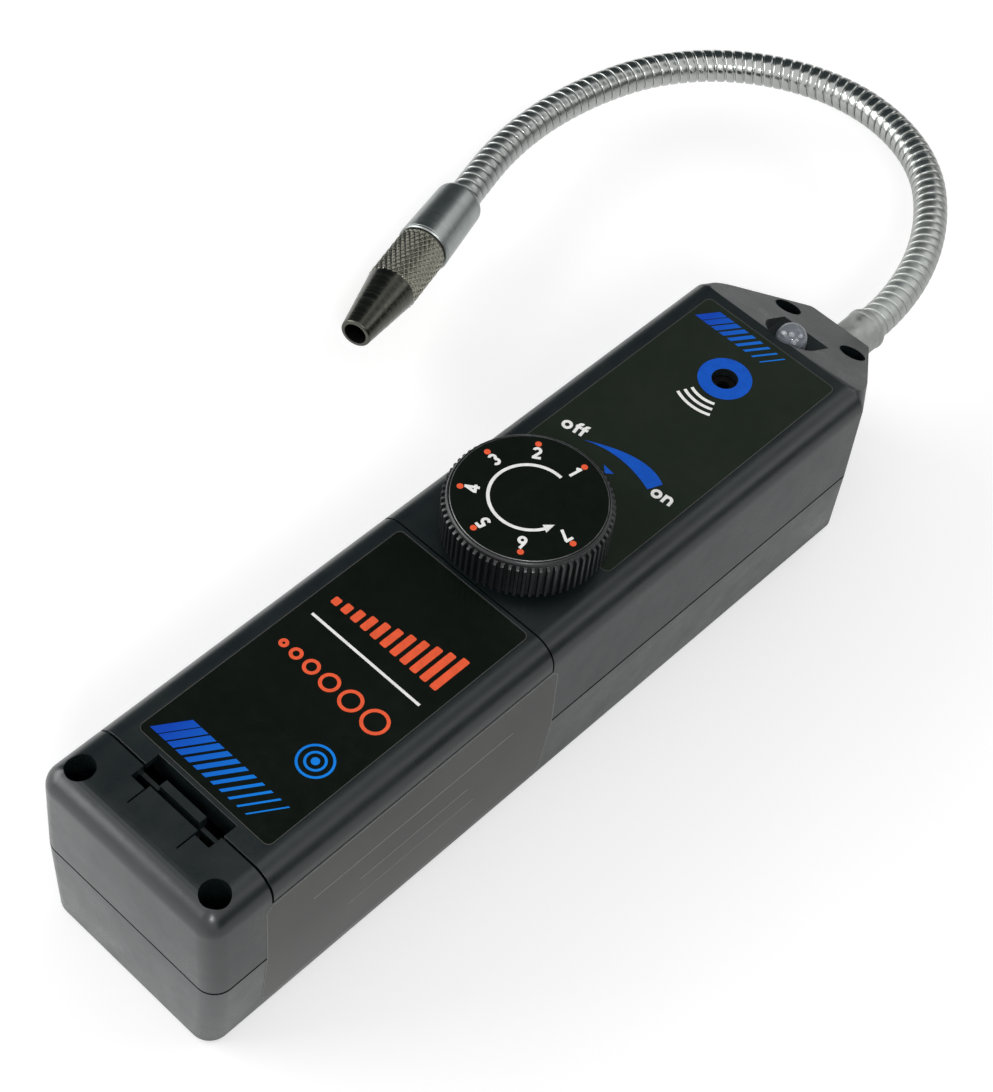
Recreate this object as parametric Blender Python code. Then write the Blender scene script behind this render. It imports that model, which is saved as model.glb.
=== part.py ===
"""Handheld refrigerant leak detector with a bent gooseneck probe.

Units are metres and +Z is up. Everything in the housing is written in a frame
whose origin lies on the seam between the two shells, in the middle of the near
end: x runs across, y runs towards the nose and z is the height over the seam.
The empty called housing_datum carries that frame to its place, so that the
finished part stands on z = 0 with its origin under the middle of the housing.
"""

import math

import bmesh
import bpy
from mathutils import Matrix, Vector

# Housing
BODY_LENGTH = 0.2420
BODY_WIDTH = 0.0560
UPPER_HEIGHT = 0.0288
LOWER_HEIGHT = 0.0247
SHELL_WALL = 0.0022
UPPER_LEAN = 0.0008
LOWER_LEAN = 0.0019
SEAM_GAP = 0.0004
CORNER_RADIUS = 0.0050
TOP_FILLET = 0.0060
BOTTOM_FILLET = 0.0014

# Nose
NOSE_LENGTH = 0.0296
NOSE_FRONT_WIDTH = 0.0190
NOSE_LIP = 0.0111
NOSE_CORNER_RADIUS = 0.0025
FRONT_CORNER_RADIUS = 0.0016

# Battery cover and latch
BLOCK_LENGTH = 0.0170
COVER_LENGTH = 0.0858
COVER_DEPTH = 0.0079
COVER_WALL = 0.0020
COVER_NEAR_GAP = 0.0005
COVER_FAR_GAP = 0.0003
COVER_RAIL_GAP = 0.0003
RIB = 0.0018
NOTCH_WIDTH = 0.0242
NOTCH_DEPTH = 0.0036
TONGUE_WIDTH = 0.0148
TONGUE_LENGTH = 0.0085
TONGUE_SLIT = 0.0006
TONGUE_EAR = 0.0036
TONGUE_SET_BACK = 0.0024
LOOP_DEPTH = 0.0072
LOOP_WALL = 0.0010
CATCH_WIDTH = 0.0124
CATCH_LENGTH = 0.0020
CATCH_REACH = 0.0012
CATCH_HEIGHT = 0.0032
CATCH_LEAD = 0.0008
CATCH_DROP = 0.0002
LEDGE_DROP = 0.0024
LEDGE_THICKNESS = 0.0010
HOOK_WIDTH = 0.0080
HOOK_SPACING = 0.0300
HOOK_REACH = 0.0026
HOOK_THICKNESS = 0.0018
HOOK_SLOT_DEPTH = 0.0062

# Fastenings
SCREW_FROM_SIDE = 0.0071
SCREW_FROM_END = 0.0071
NOSE_SCREW_SPACING = 0.0212
NOSE_SCREW_FROM_FRONT = 0.0100
WELL_DIAMETER = 0.0070
WELL_WALL = 0.0014
WELL_FLOOR = 0.0026
SCREW_DIAMETER = 0.0029
SCREW_HEAD_DIAMETER = 0.0056
SCREW_HEAD_HEIGHT = 0.0022
SCREW_LENGTH = 0.0130
SCREW_POINT = 0.3
BOSS_WALL = 0.0026
FIT_GAP = 0.0003

# Cells and contacts
CELL_DIAMETER = 0.0262
CELL_LENGTH = 0.0492
CELL_NUB_DIAMETER = 0.0066
CELL_NUB_HEIGHT = 0.0015
CONTACT_SIZE = 0.0130
CONTACT_THICKNESS = 0.0006
SPRING_LENGTH = 0.0066
SPRING_DIAMETER = 0.0120
SPRING_WIRE = 0.0010
SPRING_TURNS = 3.5
CRADLE_THICKNESS = 0.0016

# Sensitivity knob and its control
KNOB_PAST_COVER = 0.0182
KNOB_DIAMETER = 0.0396
KNOB_HEIGHT = 0.0112
KNOB_LIFT = 0.0026
KNOB_TEETH = 70
KNOB_TOOTH_DEPTH = 0.0007
KNOB_RIM_BAND = 0.0016
KNOB_RIM_ROUND = 0.0009
KNOB_WALL = 0.0022
KNOB_HUB_DIAMETER = 0.0100
DIAL_DIAMETER = 0.0362
DIAL_THICKNESS = 0.0007
DIAL_SINK = 0.0008
SHAFT_DIAMETER = 0.0060
SHAFT_FLAT = 0.0010
BUSHING_DIAMETER = 0.0078
BUSHING_HEIGHT = 0.0026
CONTROL_DIAMETER = 0.0160
CONTROL_DEPTH = 0.0100
CONTROL_TAG = 0.0016
NUT_WIDTH = 0.0110
NUT_HEIGHT = 0.0018
WASHER_DIAMETER = 0.0120
WASHER_THICKNESS = 0.0006

# Electronics
BUZZER_TO_NOSE = 0.0205
SOUND_HOLE_DIAMETER = 0.0064
BUZZER_DIAMETER = 0.0120
BUZZER_HEIGHT = 0.0095
BOARD_THICKNESS = 0.0016
BOARD_WIDTH = 0.0400
BOARD_NOSE_WIDTH = 0.0280
BOARD_TO_CONTROL = 0.0050
BOARD_PAST_NOSE = 0.0110
POST_DIAMETER = 0.0054
POST_FROM_CENTRE = 0.0160
BOARD_SCREW_DIAMETER = 0.0020
BOARD_SCREW_HEAD = 0.0042
CHIP_LENGTH = 0.0098
CHIP_WIDTH = 0.0064
CHIP_HEIGHT = 0.0034
CHIP_PINS = 4
CHIP_FROM_CENTRE = 0.0110
CHIP_FROM_BOARD_END = 0.0030
LAMP_DIAMETER = 0.0080
LAMP_PAST_NOSE = 0.0063
LAMP_HEIGHT = 0.0110
LAMP_FLANGE = 0.0006
LAMP_LEAD_SPACING = 0.0025
POCKET_WIDTH = 0.0144
POCKET_DEPTH = 0.0078
POCKET_WALL = 0.0014

# Labels
LABEL_THICKNESS = 0.0004
LABEL_PROUD = 0.0001
LABEL_WIDTH = 0.0408
LABEL_CORNER = 0.0024
LABEL_MARGIN = 0.0003
COVER_LABEL_MARGIN = 0.0012
NOSE_LABEL_NEAR = 0.0060
NOSE_LABEL_END = 0.0028
SIDE_LABEL_TOP = 0.0203
SIDE_LABEL_BOTTOM = 0.0215
SIDE_LABEL_PAST_COVER = 0.0016

# Gooseneck probe
NECK_DIAMETER = 0.0093
NECK_BORE = 0.0056
NECK_PITCH = 0.0029
NECK_GROOVE = 0.0005
NECK_TILT = 4.0
NECK_BENDS = ((0.0580, 41.5), (0.0580, 64.5), (0.0580, 56.1), (0.0580, 34.4))
NECK_LEAD = 0.0150
NECK_TAIL = 0.0140
NECK_TUCK = 0.0070
FERRULE_WALL = 0.0006
FERRULE_LIP = 0.0004
FERRULE_FLANGE = 0.0019
FERRULE_FLANGE_THICKNESS = 0.0014
FERRULE_TAIL = 0.0050
SLEEVE_LENGTH = 0.0225
SLEEVE_REAR_DIAMETER = 0.0136
SLEEVE_FRONT_DIAMETER = 0.0150
SLEEVE_SHOULDER = 0.0024
SLEEVE_WALL = 0.0010
SOCKET_LENGTH = 0.0120
SPIGOT_DIAMETER = 0.0108
SPIGOT_LENGTH = 0.0080
SENSOR_DIAMETER = 0.0052
SENSOR_LENGTH = 0.0100
NOZZLE_DIAMETER = 0.0143
NOZZLE_GRIP = 0.0176
NOZZLE_CONE = 0.0190
NOZZLE_TIP_DIAMETER = 0.0084
NOZZLE_BORE = 0.0066
NOZZLE_MOUTH_LENGTH = 0.0080
NOZZLE_GAP = 0.0005
NOZZLE_CHAMFER = 0.0004

# Smoothness
ROUND_SIDES = 20
SMALL_SIDES = 10
WELL_SIDES = 16
NECK_SIDES = 10
FILLET_STEPS = 4

# Places that follow from the sizes above
HALF_WIDTH = BODY_WIDTH / 2
NOSE_START = BODY_LENGTH - NOSE_LENGTH
FRONT_HALF = NOSE_FRONT_WIDTH / 2
SLOPE = (UPPER_HEIGHT - NOSE_LIP) / NOSE_LENGTH
COVER_FAR = BLOCK_LENGTH + COVER_LENGTH
KNOB_FROM_NEAR_END = COVER_FAR + KNOB_PAST_COVER
RAIL_TOP = UPPER_HEIGHT - COVER_DEPTH
SKIN = UPPER_HEIGHT - SHELL_WALL
FLOOR = -LOWER_HEIGHT + SHELL_WALL
WELL_RADIUS = WELL_DIAMETER / 2
PILOT_RADIUS = SCREW_DIAMETER / 2 + FIT_GAP
BUZZER_Y = NOSE_START - BUZZER_TO_NOSE
LAMP_Y = NOSE_START + LAMP_PAST_NOSE
POCKET_FLOOR = UPPER_HEIGHT - POCKET_DEPTH
BOARD_TOP = SKIN - BUZZER_HEIGHT - 2 * FIT_GAP
BOARD_NEAR = KNOB_FROM_NEAR_END + CONTROL_DIAMETER / 2 + BOARD_TO_CONTROL
BOARD_FAR = NOSE_START + BOARD_PAST_NOSE
CELL_TOP = CELL_DIAMETER / 2
CRADLE_RADIUS = CELL_DIAMETER / 2 + FIT_GAP
BORE_GAP = NECK_DIAMETER / 2 + FIT_GAP
FERRULE_RADIUS = BORE_GAP + FERRULE_WALL
SCREW_SEAT = SEAM_GAP + WELL_FLOOR


# Finishes

def finish(name, colour, roughness, metallic=0.0, clear=0.0):
    """A Principled material in one plain colour."""
    made = bpy.data.materials.new(name)
    made.use_nodes = True
    shader = made.node_tree.nodes["Principled BSDF"]
    shader.inputs["Base Color"].default_value = (*colour, 1.0)
    shader.inputs["Roughness"].default_value = roughness
    shader.inputs["Metallic"].default_value = metallic
    shader.inputs["Transmission Weight"].default_value = clear
    return made


# Mesh tools

def object_from(bm, name="tool"):
    """Close the normals of a bmesh and hand it over as an object."""
    bmesh.ops.recalc_face_normals(bm, faces=bm.faces)
    mesh = bpy.data.meshes.new(name)
    bm.to_mesh(mesh)
    bm.free()
    made = bpy.data.objects.new(name, mesh)
    bpy.context.scene.collection.objects.link(made)
    return made


def loft(rings, closed=False):
    """Skin a row of rings that all have the same number of points."""
    bm = bmesh.new()
    rows = [[bm.verts.new(point) for point in ring] for ring in rings]
    pairs = list(zip(rows, rows[1:]))
    if closed:
        pairs.append((rows[-1], rows[0]))
    for low, high in pairs:
        for i in range(len(low)):
            j = (i + 1) % len(low)
            bm.faces.new((low[i], low[j], high[j], high[i]))
    if not closed:
        bm.faces.new(reversed(rows[0]))
        bm.faces.new(rows[-1])
    return object_from(bm)


def circle(radius, height, sides, turn=0.0):
    """Points of a level circle about the Z axis."""
    steps = [turn + 2 * math.pi * i / sides for i in range(sides)]
    return [Vector((radius * math.cos(a), radius * math.sin(a), height)) for a in steps]


def turned(profile, sides=ROUND_SIDES, closed=False):
    """Turn a profile of (radius, height) points about the Z axis."""
    return loft([circle(r, h, sides) for r, h in profile], closed)


def block(low, high):
    """A box between two opposite corners."""
    bm = bmesh.new()
    size = Vector(high) - Vector(low)
    middle = (Vector(high) + Vector(low)) / 2
    place = Matrix.Translation(middle) @ Matrix.Diagonal((*size, 1.0))
    bmesh.ops.create_cube(bm, size=1.0, matrix=place)
    return object_from(bm)


def moved(thing, place):
    """Apply a matrix to a tool's mesh."""
    thing.data.transform(place)
    return thing


def post(x, y, radius, low, high, sides=SMALL_SIDES):
    """An upright round post."""
    return moved(turned([(radius, low), (radius, high)], sides), Matrix.Translation((x, y, 0)))


def along_y(thing, y=0.0, z=0.0):
    """Lay a turned tool down so that its axis runs along +Y."""
    lay = Matrix.Translation((0, y, z)) @ Matrix.Rotation(-math.pi / 2, 4, "X")
    return moved(thing, lay)


def prism(outline, low, high):
    """Stand a flat XY outline up between two heights."""
    return loft([[Vector((x, y, z)) for x, y in outline] for z in (low, high)])


def side_prism(outline, low, high):
    """Stretch a flat YZ outline along X."""
    return loft([[Vector((x, y, z)) for y, z in outline] for x in (low, high)])


def combine(target, tool, operation):
    """Join, cut or intersect a mesh with a tool and drop the tool."""
    step = target.modifiers.new("Boolean", "BOOLEAN")
    step.operation = operation
    step.solver = "EXACT"
    step.object = tool
    view = bpy.context.evaluated_depsgraph_get()
    shaped = bpy.data.meshes.new_from_object(target.evaluated_get(view))
    target.modifiers.remove(step)
    rough = target.data
    target.data = shaped
    bpy.data.meshes.remove(rough)
    bpy.data.meshes.remove(tool.data)
    return target


def cut(target, *tools):
    for tool in tools:
        combine(target, tool, "DIFFERENCE")
    return target


def join(target, *tools):
    for tool in tools:
        combine(target, tool, "UNION")
    return target


def tidy(thing):
    """Weld the stray doubles that cutting leaves."""
    bm = bmesh.new()
    bm.from_mesh(thing.data)
    bmesh.ops.remove_doubles(bm, verts=bm.verts, dist=1e-6)
    bmesh.ops.dissolve_degenerate(bm, edges=bm.edges, dist=1e-6)
    bm.to_mesh(thing.data)
    bm.free()


def name_part(thing, name, material, parent, sharp=32.0):
    """Give a finished shape its name, its finish and its carrier."""
    tidy(thing)
    thing.name = name
    thing.data.name = name
    thing.data.materials.clear()
    thing.data.materials.append(material)
    thing.data.shade_smooth()
    thing.data.set_sharp_from_angle(angle=math.radians(sharp))
    thing.parent = parent
    return thing


def datum(name, place, parent=None):
    """An empty that carries a group of parts or marks a joint's axis."""
    made = bpy.data.objects.new(name, None)
    bpy.context.scene.collection.objects.link(made)
    made.parent = parent
    made.matrix_basis = place
    made.empty_display_size = 0.01
    return made


# Outlines

def crossing(a, b, c, d):
    """Where the line a-b meets the line c-d, in the plane."""
    r = b - a
    s = d - c
    share = (c - a).cross(s) / r.cross(s)
    return a + r * share


def inset_outline(corners, insets):
    """Move each edge of a counter-clockwise outline inwards by its own inset."""
    count = len(corners)
    edges = []
    for i, inset in enumerate(insets):
        start = Vector(corners[i])
        end = Vector(corners[(i + 1) % count])
        run = (end - start).normalized()
        inward = Vector((-run.y, run.x)) * inset
        edges.append((start + inward, end + inward))
    return [crossing(*edges[i - 1], *edges[i]) for i in range(count)]


def rounded(corners, radii, steps):
    """Replace each corner of a convex outline by an arc."""
    outline = []
    count = len(corners)
    for i, corner in enumerate(corners):
        back = (Vector(corners[i - 1]) - corner).normalized()
        ahead = (Vector(corners[(i + 1) % count]) - corner).normalized()
        half = back.angle(ahead) / 2
        reach = radii[i] / math.tan(half)
        middle = Vector(corner) + (back + ahead).normalized() * (radii[i] / math.sin(half))
        start = Vector(corner) + back * reach - middle
        end = Vector(corner) + ahead * reach - middle
        sweep = start.angle_signed(end)
        for k in range(steps[i] + 1):
            a = -sweep * k / steps[i]
            turn = Vector((start.x * math.cos(a) - start.y * math.sin(a),
                           start.x * math.sin(a) + start.y * math.cos(a)))
            outline.append(middle + turn)
    return outline


def rectangle(x0, x1, y0, y1):
    return [Vector((x0, y0)), Vector((x1, y0)), Vector((x1, y1)), Vector((x0, y1))]


def housing_outline(lean, inset):
    """Plan of the housing, its sides leaning in by lean and all edges by inset."""
    corners = [Vector((-HALF_WIDTH, 0.0)), Vector((HALF_WIDTH, 0.0)),
               Vector((HALF_WIDTH, NOSE_START)), Vector((FRONT_HALF, BODY_LENGTH)),
               Vector((-FRONT_HALF, BODY_LENGTH)), Vector((-HALF_WIDTH, NOSE_START))]
    moves = [inset, inset + lean, inset, inset, inset, inset + lean]
    radii = [CORNER_RADIUS, CORNER_RADIUS, NOSE_CORNER_RADIUS,
             FRONT_CORNER_RADIUS, FRONT_CORNER_RADIUS, NOSE_CORNER_RADIUS]
    steps = [4, 4, 2, 2, 2, 2]
    least = 0.0006
    softened = [max(radius - inset, least) for radius in radii]
    return rounded(inset_outline(corners, moves), softened, steps)


def housing_half(height, lean, fillet, inset, foot):
    """One half of the housing, from the seam to its closed side.

    height is signed: positive for the upper half, negative for the lower one.
    foot is where the half begins, so that a cavity can run out of the seam.
    """
    way = math.copysign(1.0, height)
    top = abs(height) - inset
    edge = max(fillet - inset, 0.0006)
    stations = [(foot, 0.0), (top - edge, 0.0)]
    for k in range(1, FILLET_STEPS + 1):
        a = math.pi / 2 * k / FILLET_STEPS
        stations.append((top - edge + edge * math.sin(a), edge * (1 - math.cos(a))))
    rings = []
    for level, draw in stations:
        leaning = lean * max(level, 0.0) / abs(height)
        outline = housing_outline(leaning, inset + draw)
        rings.append([Vector((p.x, p.y, way * level)) for p in outline])
    return loft(rings)


def slope_height(y, inset=0.0):
    """Height of the nose slope, moved inwards by inset."""
    return UPPER_HEIGHT - (y - NOSE_START) * SLOPE - inset * math.hypot(1.0, SLOPE)


def above_slope(inset):
    """Everything over the nose slope."""
    near = NOSE_START - 0.02
    far = BODY_LENGTH + 0.01
    lid = UPPER_HEIGHT + 0.03
    outline = [(near, slope_height(near, inset)), (far, slope_height(far, inset)),
               (far, lid), (near, lid)]
    return side_prism(outline, -BODY_WIDTH, BODY_WIDTH)


def near_screws():
    return [(side * (HALF_WIDTH - SCREW_FROM_SIDE), SCREW_FROM_END) for side in (-1, 1)]


def nose_screws():
    y = BODY_LENGTH - NOSE_SCREW_FROM_FRONT
    return [(side * NOSE_SCREW_SPACING / 2, y) for side in (-1, 1)]


def board_posts():
    return [(-POST_FROM_CENTRE, BOARD_NEAR + POST_DIAMETER / 2 + 0.001),
            (POST_FROM_CENTRE, NOSE_START - POST_DIAMETER / 2 - 0.004)]


# Labels

def side_sheet(margin, inner, outer):
    """A film on the right side, from inner to outer over the leaning wall.

    It bends at the seam as the two halves do. margin grows its outline.
    """
    corner = LABEL_CORNER + margin
    far = COVER_FAR + SIDE_LABEL_PAST_COVER
    outline = rounded(rectangle(BLOCK_LENGTH - SIDE_LABEL_PAST_COVER - margin, far + margin,
                                -SIDE_LABEL_BOTTOM - margin, SIDE_LABEL_TOP + margin),
                      [corner] * 4, [4] * 4)
    sheet = side_prism(outline, HALF_WIDTH - 0.006, HALF_WIDTH + 0.006)

    def wall(z, offset):
        lean, height = (UPPER_LEAN, UPPER_HEIGHT) if z > 0 else (LOWER_LEAN, LOWER_HEIGHT)
        return Vector((HALF_WIDTH - lean * abs(z) / height + offset, z))

    levels = (-LOWER_HEIGHT, 0.0, UPPER_HEIGHT)
    section = [wall(z, inner) for z in levels] + [wall(z, outer) for z in reversed(levels)]
    skin = loft([[Vector((p.x, y, p.y)) for p in section] for y in (0.0, BODY_LENGTH)])
    return combine(sheet, skin, "INTERSECT")


def top_sheet(near, far, margin, low, high):
    """A film on the flat top."""
    reach = LABEL_WIDTH / 2 + margin
    outline = rounded(rectangle(-reach, reach, near - margin, far + margin),
                      [LABEL_CORNER + margin] * 4, [4] * 4)
    return prism(outline, low, high)


LABEL_BED = -(LABEL_THICKNESS - LABEL_PROUD + FIT_GAP)
LABEL_UNDER = LABEL_PROUD - LABEL_THICKNESS
COVER_LABEL_NEAR = BLOCK_LENGTH + COVER_NEAR_GAP + NOTCH_DEPTH + COVER_LABEL_MARGIN
COVER_LABEL_FAR = COVER_FAR - COVER_FAR_GAP - COVER_LABEL_MARGIN
NOSE_LABEL_START = KNOB_FROM_NEAR_END + NOSE_LABEL_NEAR
NOSE_LABEL_STOP = NOSE_START - NOSE_LABEL_END


def cover_label_sheet(margin, low, high):
    return top_sheet(COVER_LABEL_NEAR, COVER_LABEL_FAR, margin, low, high)


def nose_label_sheet(margin, low, high):
    return top_sheet(NOSE_LABEL_START, NOSE_LABEL_STOP, margin, low, high)


# Housing parts

def upper_shell():
    """Upper half: latch block, side rails, control deck and sloping nose."""
    shell = housing_half(UPPER_HEIGHT, UPPER_LEAN, TOP_FILLET, 0.0, SEAM_GAP)
    cut(shell, above_slope(0.0))
    cavity = housing_half(UPPER_HEIGHT, UPPER_LEAN, TOP_FILLET, SHELL_WALL, -0.001)
    cut(cavity, above_slope(SHELL_WALL))
    tall = UPPER_HEIGHT + 0.01
    cell_clear = CELL_TOP + FIT_GAP
    wide = HALF_WIDTH + 0.01
    cut(cavity, block((-wide, BLOCK_LENGTH - LEDGE_THICKNESS, cell_clear), (wide, BLOCK_LENGTH, tall)))
    cut(cavity, block((-wide, COVER_FAR, cell_clear), (wide, COVER_FAR + RIB, tall)))
    for x, y in near_screws() + nose_screws():
        cut(cavity, post(x, y, WELL_RADIUS + WELL_WALL, SEAM_GAP, tall, WELL_SIDES))
    for x, y in board_posts():
        cut(cavity, post(x, y, POST_DIAMETER / 2, BOARD_TOP + FIT_GAP, tall))
    cup = POCKET_WIDTH / 2 + POCKET_WALL
    cut(cavity, u_shape(cup, POCKET_FLOOR - POCKET_WALL, tall))
    rib_far = BODY_LENGTH - SHELL_WALL - FERRULE_FLANGE_THICKNESS - 2 * FIT_GAP
    cut(cavity, block((-wide, rib_far - RIB, SEAM_GAP), (wide, rib_far, tall)))
    cut(shell, cavity)

    cut(shell, block((-wide, BLOCK_LENGTH, RAIL_TOP), (wide, COVER_FAR, tall)))
    for x, y in near_screws() + nose_screws():
        cut(shell, post(x, y, WELL_RADIUS, SCREW_SEAT, tall, WELL_SIDES))
        cut(shell, post(x, y, PILOT_RADIUS, -0.001, tall))
    for x, y in board_posts():
        cut(shell, post(x, y, BOARD_SCREW_DIAMETER / 2 + FIT_GAP, 0.0, SKIN - FIT_GAP))
    cut(shell, u_shape(POCKET_WIDTH / 2, POCKET_FLOOR, tall))
    lamp_hole = LAMP_DIAMETER / 2 + FIT_GAP
    cut(shell, post(0.0, LAMP_Y, lamp_hole, 0.0, tall, ROUND_SIDES))
    cut(shell, post(0.0, BUZZER_Y, SOUND_HOLE_DIAMETER / 2, SKIN - 0.001, tall, ROUND_SIDES))
    bush = BUSHING_DIAMETER / 2 + FIT_GAP
    cut(shell, post(0.0, KNOB_FROM_NEAR_END, bush, SKIN - 0.001, tall, ROUND_SIDES))
    cut(shell, gland_bore())
    cut_latch(shell, tall)
    for side in (-1, 1):
        reach = HOOK_WIDTH / 2 + FIT_GAP
        middle = side * HOOK_SPACING / 2
        cut(shell, block((middle - reach, COVER_FAR - 0.001, UPPER_HEIGHT - HOOK_SLOT_DEPTH),
                         (middle + reach, COVER_FAR + RIB + 0.001, SKIN)))
    bed = UPPER_HEIGHT + LABEL_BED
    cut(shell, nose_label_sheet(LABEL_MARGIN, bed, tall))
    cut(shell, side_sheet(LABEL_MARGIN, LABEL_BED, 0.004))
    return shell


def u_shape(radius, low, high):
    """A round-ended slot about the lamp that runs out through the nose."""
    arc = [Vector((-radius * math.cos(a), LAMP_Y - radius * math.sin(a)))
           for a in (math.pi * k / 12 for k in range(13))]
    far = BODY_LENGTH - NOSE_SCREW_FROM_FRONT - WELL_RADIUS - 0.0004
    return prism(arc + [Vector((radius, far)), Vector((-radius, far))], low, high)


def cut_latch(shell, tall):
    """The flexing tongue in the block's top: slits, ears, sprung loop and catch."""
    half_notch = NOTCH_WIDTH / 2
    half_tongue = TONGUE_WIDTH / 2
    half_catch = CATCH_WIDTH / 2
    end = BLOCK_LENGTH + 0.001
    ledge = UPPER_HEIGHT - LEDGE_DROP
    tongue_end = BLOCK_LENGTH - TONGUE_SET_BACK
    cut(shell, block((-half_notch, tongue_end, ledge), (half_notch, end, tall)))
    for side in (-1, 1):
        ear = sorted((side * half_tongue, side * half_notch))
        cut(shell, block((ear[0], BLOCK_LENGTH - TONGUE_EAR, ledge), (ear[1], end, tall)))
        slit = sorted((side * half_tongue, side * (half_tongue + TONGUE_SLIT)))
        cut(shell, block((slit[0], BLOCK_LENGTH - TONGUE_LENGTH, SKIN - 0.001), (slit[1], tongue_end, tall)))
    loop_low = UPPER_HEIGHT - LOOP_DEPTH
    reach = half_catch + FIT_GAP
    cut(shell, block((-reach, BLOCK_LENGTH - LEDGE_THICKNESS - 0.0001, loop_low - FIT_GAP), (reach, end, tall)))
    top = UPPER_HEIGHT - CATCH_DROP
    far = BLOCK_LENGTH + CATCH_REACH
    near = far - CATCH_LENGTH
    hook_low = top - CATCH_HEIGHT
    inside = UPPER_HEIGHT - SHELL_WALL / 2
    loop = [(tongue_end - LOOP_WALL, inside), (tongue_end - LOOP_WALL, loop_low), (near + LOOP_WALL, loop_low),
            (near + LOOP_WALL, hook_low), (far, hook_low + CATCH_LEAD), (far, top), (near, top),
            (near, loop_low + LOOP_WALL), (tongue_end, loop_low + LOOP_WALL), (tongue_end, inside)]
    join(shell, side_prism(loop, -half_catch, half_catch))


def gland_bore():
    """Room for the ferrule between the shells, through the front wall."""
    tube = FERRULE_RADIUS + FIT_GAP
    flange = FERRULE_RADIUS + FERRULE_FLANGE + FIT_GAP
    front = BODY_LENGTH - SHELL_WALL
    flange_back = front - FERRULE_FLANGE_THICKNESS - 2 * FIT_GAP
    back = flange_back - FERRULE_TAIL - NECK_TUCK
    steps = [(tube, back), (tube, flange_back), (flange, flange_back), (flange, front),
             (tube, front), (tube, BODY_LENGTH + 0.002)]
    return along_y(turned(steps))


def lower_shell():
    """Lower half: tray with cell cradles, screw bosses and half the gland."""
    shell = housing_half(-LOWER_HEIGHT, LOWER_LEAN, BOTTOM_FILLET, 0.0, 0.0)
    cavity = housing_half(-LOWER_HEIGHT, LOWER_LEAN, BOTTOM_FILLET, SHELL_WALL, -0.001)
    deep = -LOWER_HEIGHT - 0.01
    wide = HALF_WIDTH + 0.01
    for x, y in near_screws() + nose_screws():
        cut(cavity, post(x, y, PILOT_RADIUS + BOSS_WALL, deep, 0.0, WELL_SIDES))
    for y in cradle_places():
        saddle = block((-wide, y, deep), (wide, y + CRADLE_THICKNESS, -0.001))
        hollow = along_y(turned([(CRADLE_RADIUS, y - 0.001),
                                 (CRADLE_RADIUS, y + CRADLE_THICKNESS + 0.001)]))
        cut(cavity, cut(saddle, hollow))
    stop = far_contact_y() + CONTACT_THICKNESS + FIT_GAP
    cut(cavity, block((-wide, stop, deep), (wide, stop + RIB, -0.001)))
    rib_far = BODY_LENGTH - SHELL_WALL - FERRULE_FLANGE_THICKNESS - 2 * FIT_GAP
    cut(cavity, block((-wide, rib_far - RIB, deep), (wide, rib_far, 0.0)))
    cut(shell, cavity)
    depth = SCREW_SEAT - SCREW_LENGTH - 0.001
    for x, y in near_screws() + nose_screws():
        cut(shell, post(x, y, PILOT_RADIUS, depth, 0.001))
    cut(shell, gland_bore())
    cut(shell, side_sheet(LABEL_MARGIN, LABEL_BED, 0.004))
    return shell


def near_cell_y():
    """Where the first cell's flat end stands."""
    return SHELL_WALL + CONTACT_THICKNESS + SPRING_LENGTH + 3 * FIT_GAP


def cell_step():
    return CELL_LENGTH + CELL_NUB_HEIGHT + FIT_GAP


def far_contact_y():
    return near_cell_y() + 2 * cell_step()


def cradle_places():
    """Two saddles under each cell."""
    places = []
    for k in range(2):
        start = near_cell_y() + k * cell_step()
        places.append(start + CELL_LENGTH * 0.14)
        places.append(start + CELL_LENGTH * 0.80)
    return places


def battery_cover():
    """Lid that wraps over the shoulders, with hooks and a notch for the latch."""
    near = BLOCK_LENGTH + COVER_NEAR_GAP
    far = COVER_FAR - COVER_FAR_GAP
    low = RAIL_TOP + COVER_RAIL_GAP
    wide = HALF_WIDTH + 0.01
    tall = UPPER_HEIGHT + 0.01
    lid = housing_half(UPPER_HEIGHT, UPPER_LEAN, TOP_FILLET, 0.0, SEAM_GAP)
    combine(lid, block((-wide, near, low), (wide, far, tall)), "INTERSECT")
    cavity = housing_half(UPPER_HEIGHT, UPPER_LEAN, TOP_FILLET, COVER_WALL, -0.001)
    half_notch = NOTCH_WIDTH / 2
    notch_far = near + NOTCH_DEPTH
    cut(cavity, block((-wide, far - COVER_WALL, 0.0), (wide, far, tall)))
    stiff = UPPER_HEIGHT - COVER_DEPTH + COVER_RAIL_GAP
    cut(cavity, block((-half_notch - RIB, notch_far, stiff), (half_notch + RIB, notch_far + RIB, tall)))
    cut(lid, cavity)
    cut(lid, block((-half_notch, near - 0.001, low - 0.001), (half_notch, notch_far, tall)))
    hook_top = SKIN - FIT_GAP
    for side in (-1, 1):
        middle = side * HOOK_SPACING / 2
        join(lid, block((middle - HOOK_WIDTH / 2, far - COVER_WALL / 2, hook_top - HOOK_THICKNESS),
                        (middle + HOOK_WIDTH / 2, far + HOOK_REACH, hook_top)))
    cut(lid, cover_label_sheet(LABEL_MARGIN, UPPER_HEIGHT + LABEL_BED, tall))
    return lid


def housing_screw():
    """Pan-head screw, its head's seat at z = 0."""
    head = SCREW_HEAD_DIAMETER / 2
    shank = SCREW_DIAMETER / 2
    tip = -SCREW_LENGTH + shank
    return turned([(shank * SCREW_POINT, -SCREW_LENGTH), (shank, tip), (shank, 0.0), (head, 0.0),
                   (head * 0.7, SCREW_HEAD_HEIGHT)], SMALL_SIDES)


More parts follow.
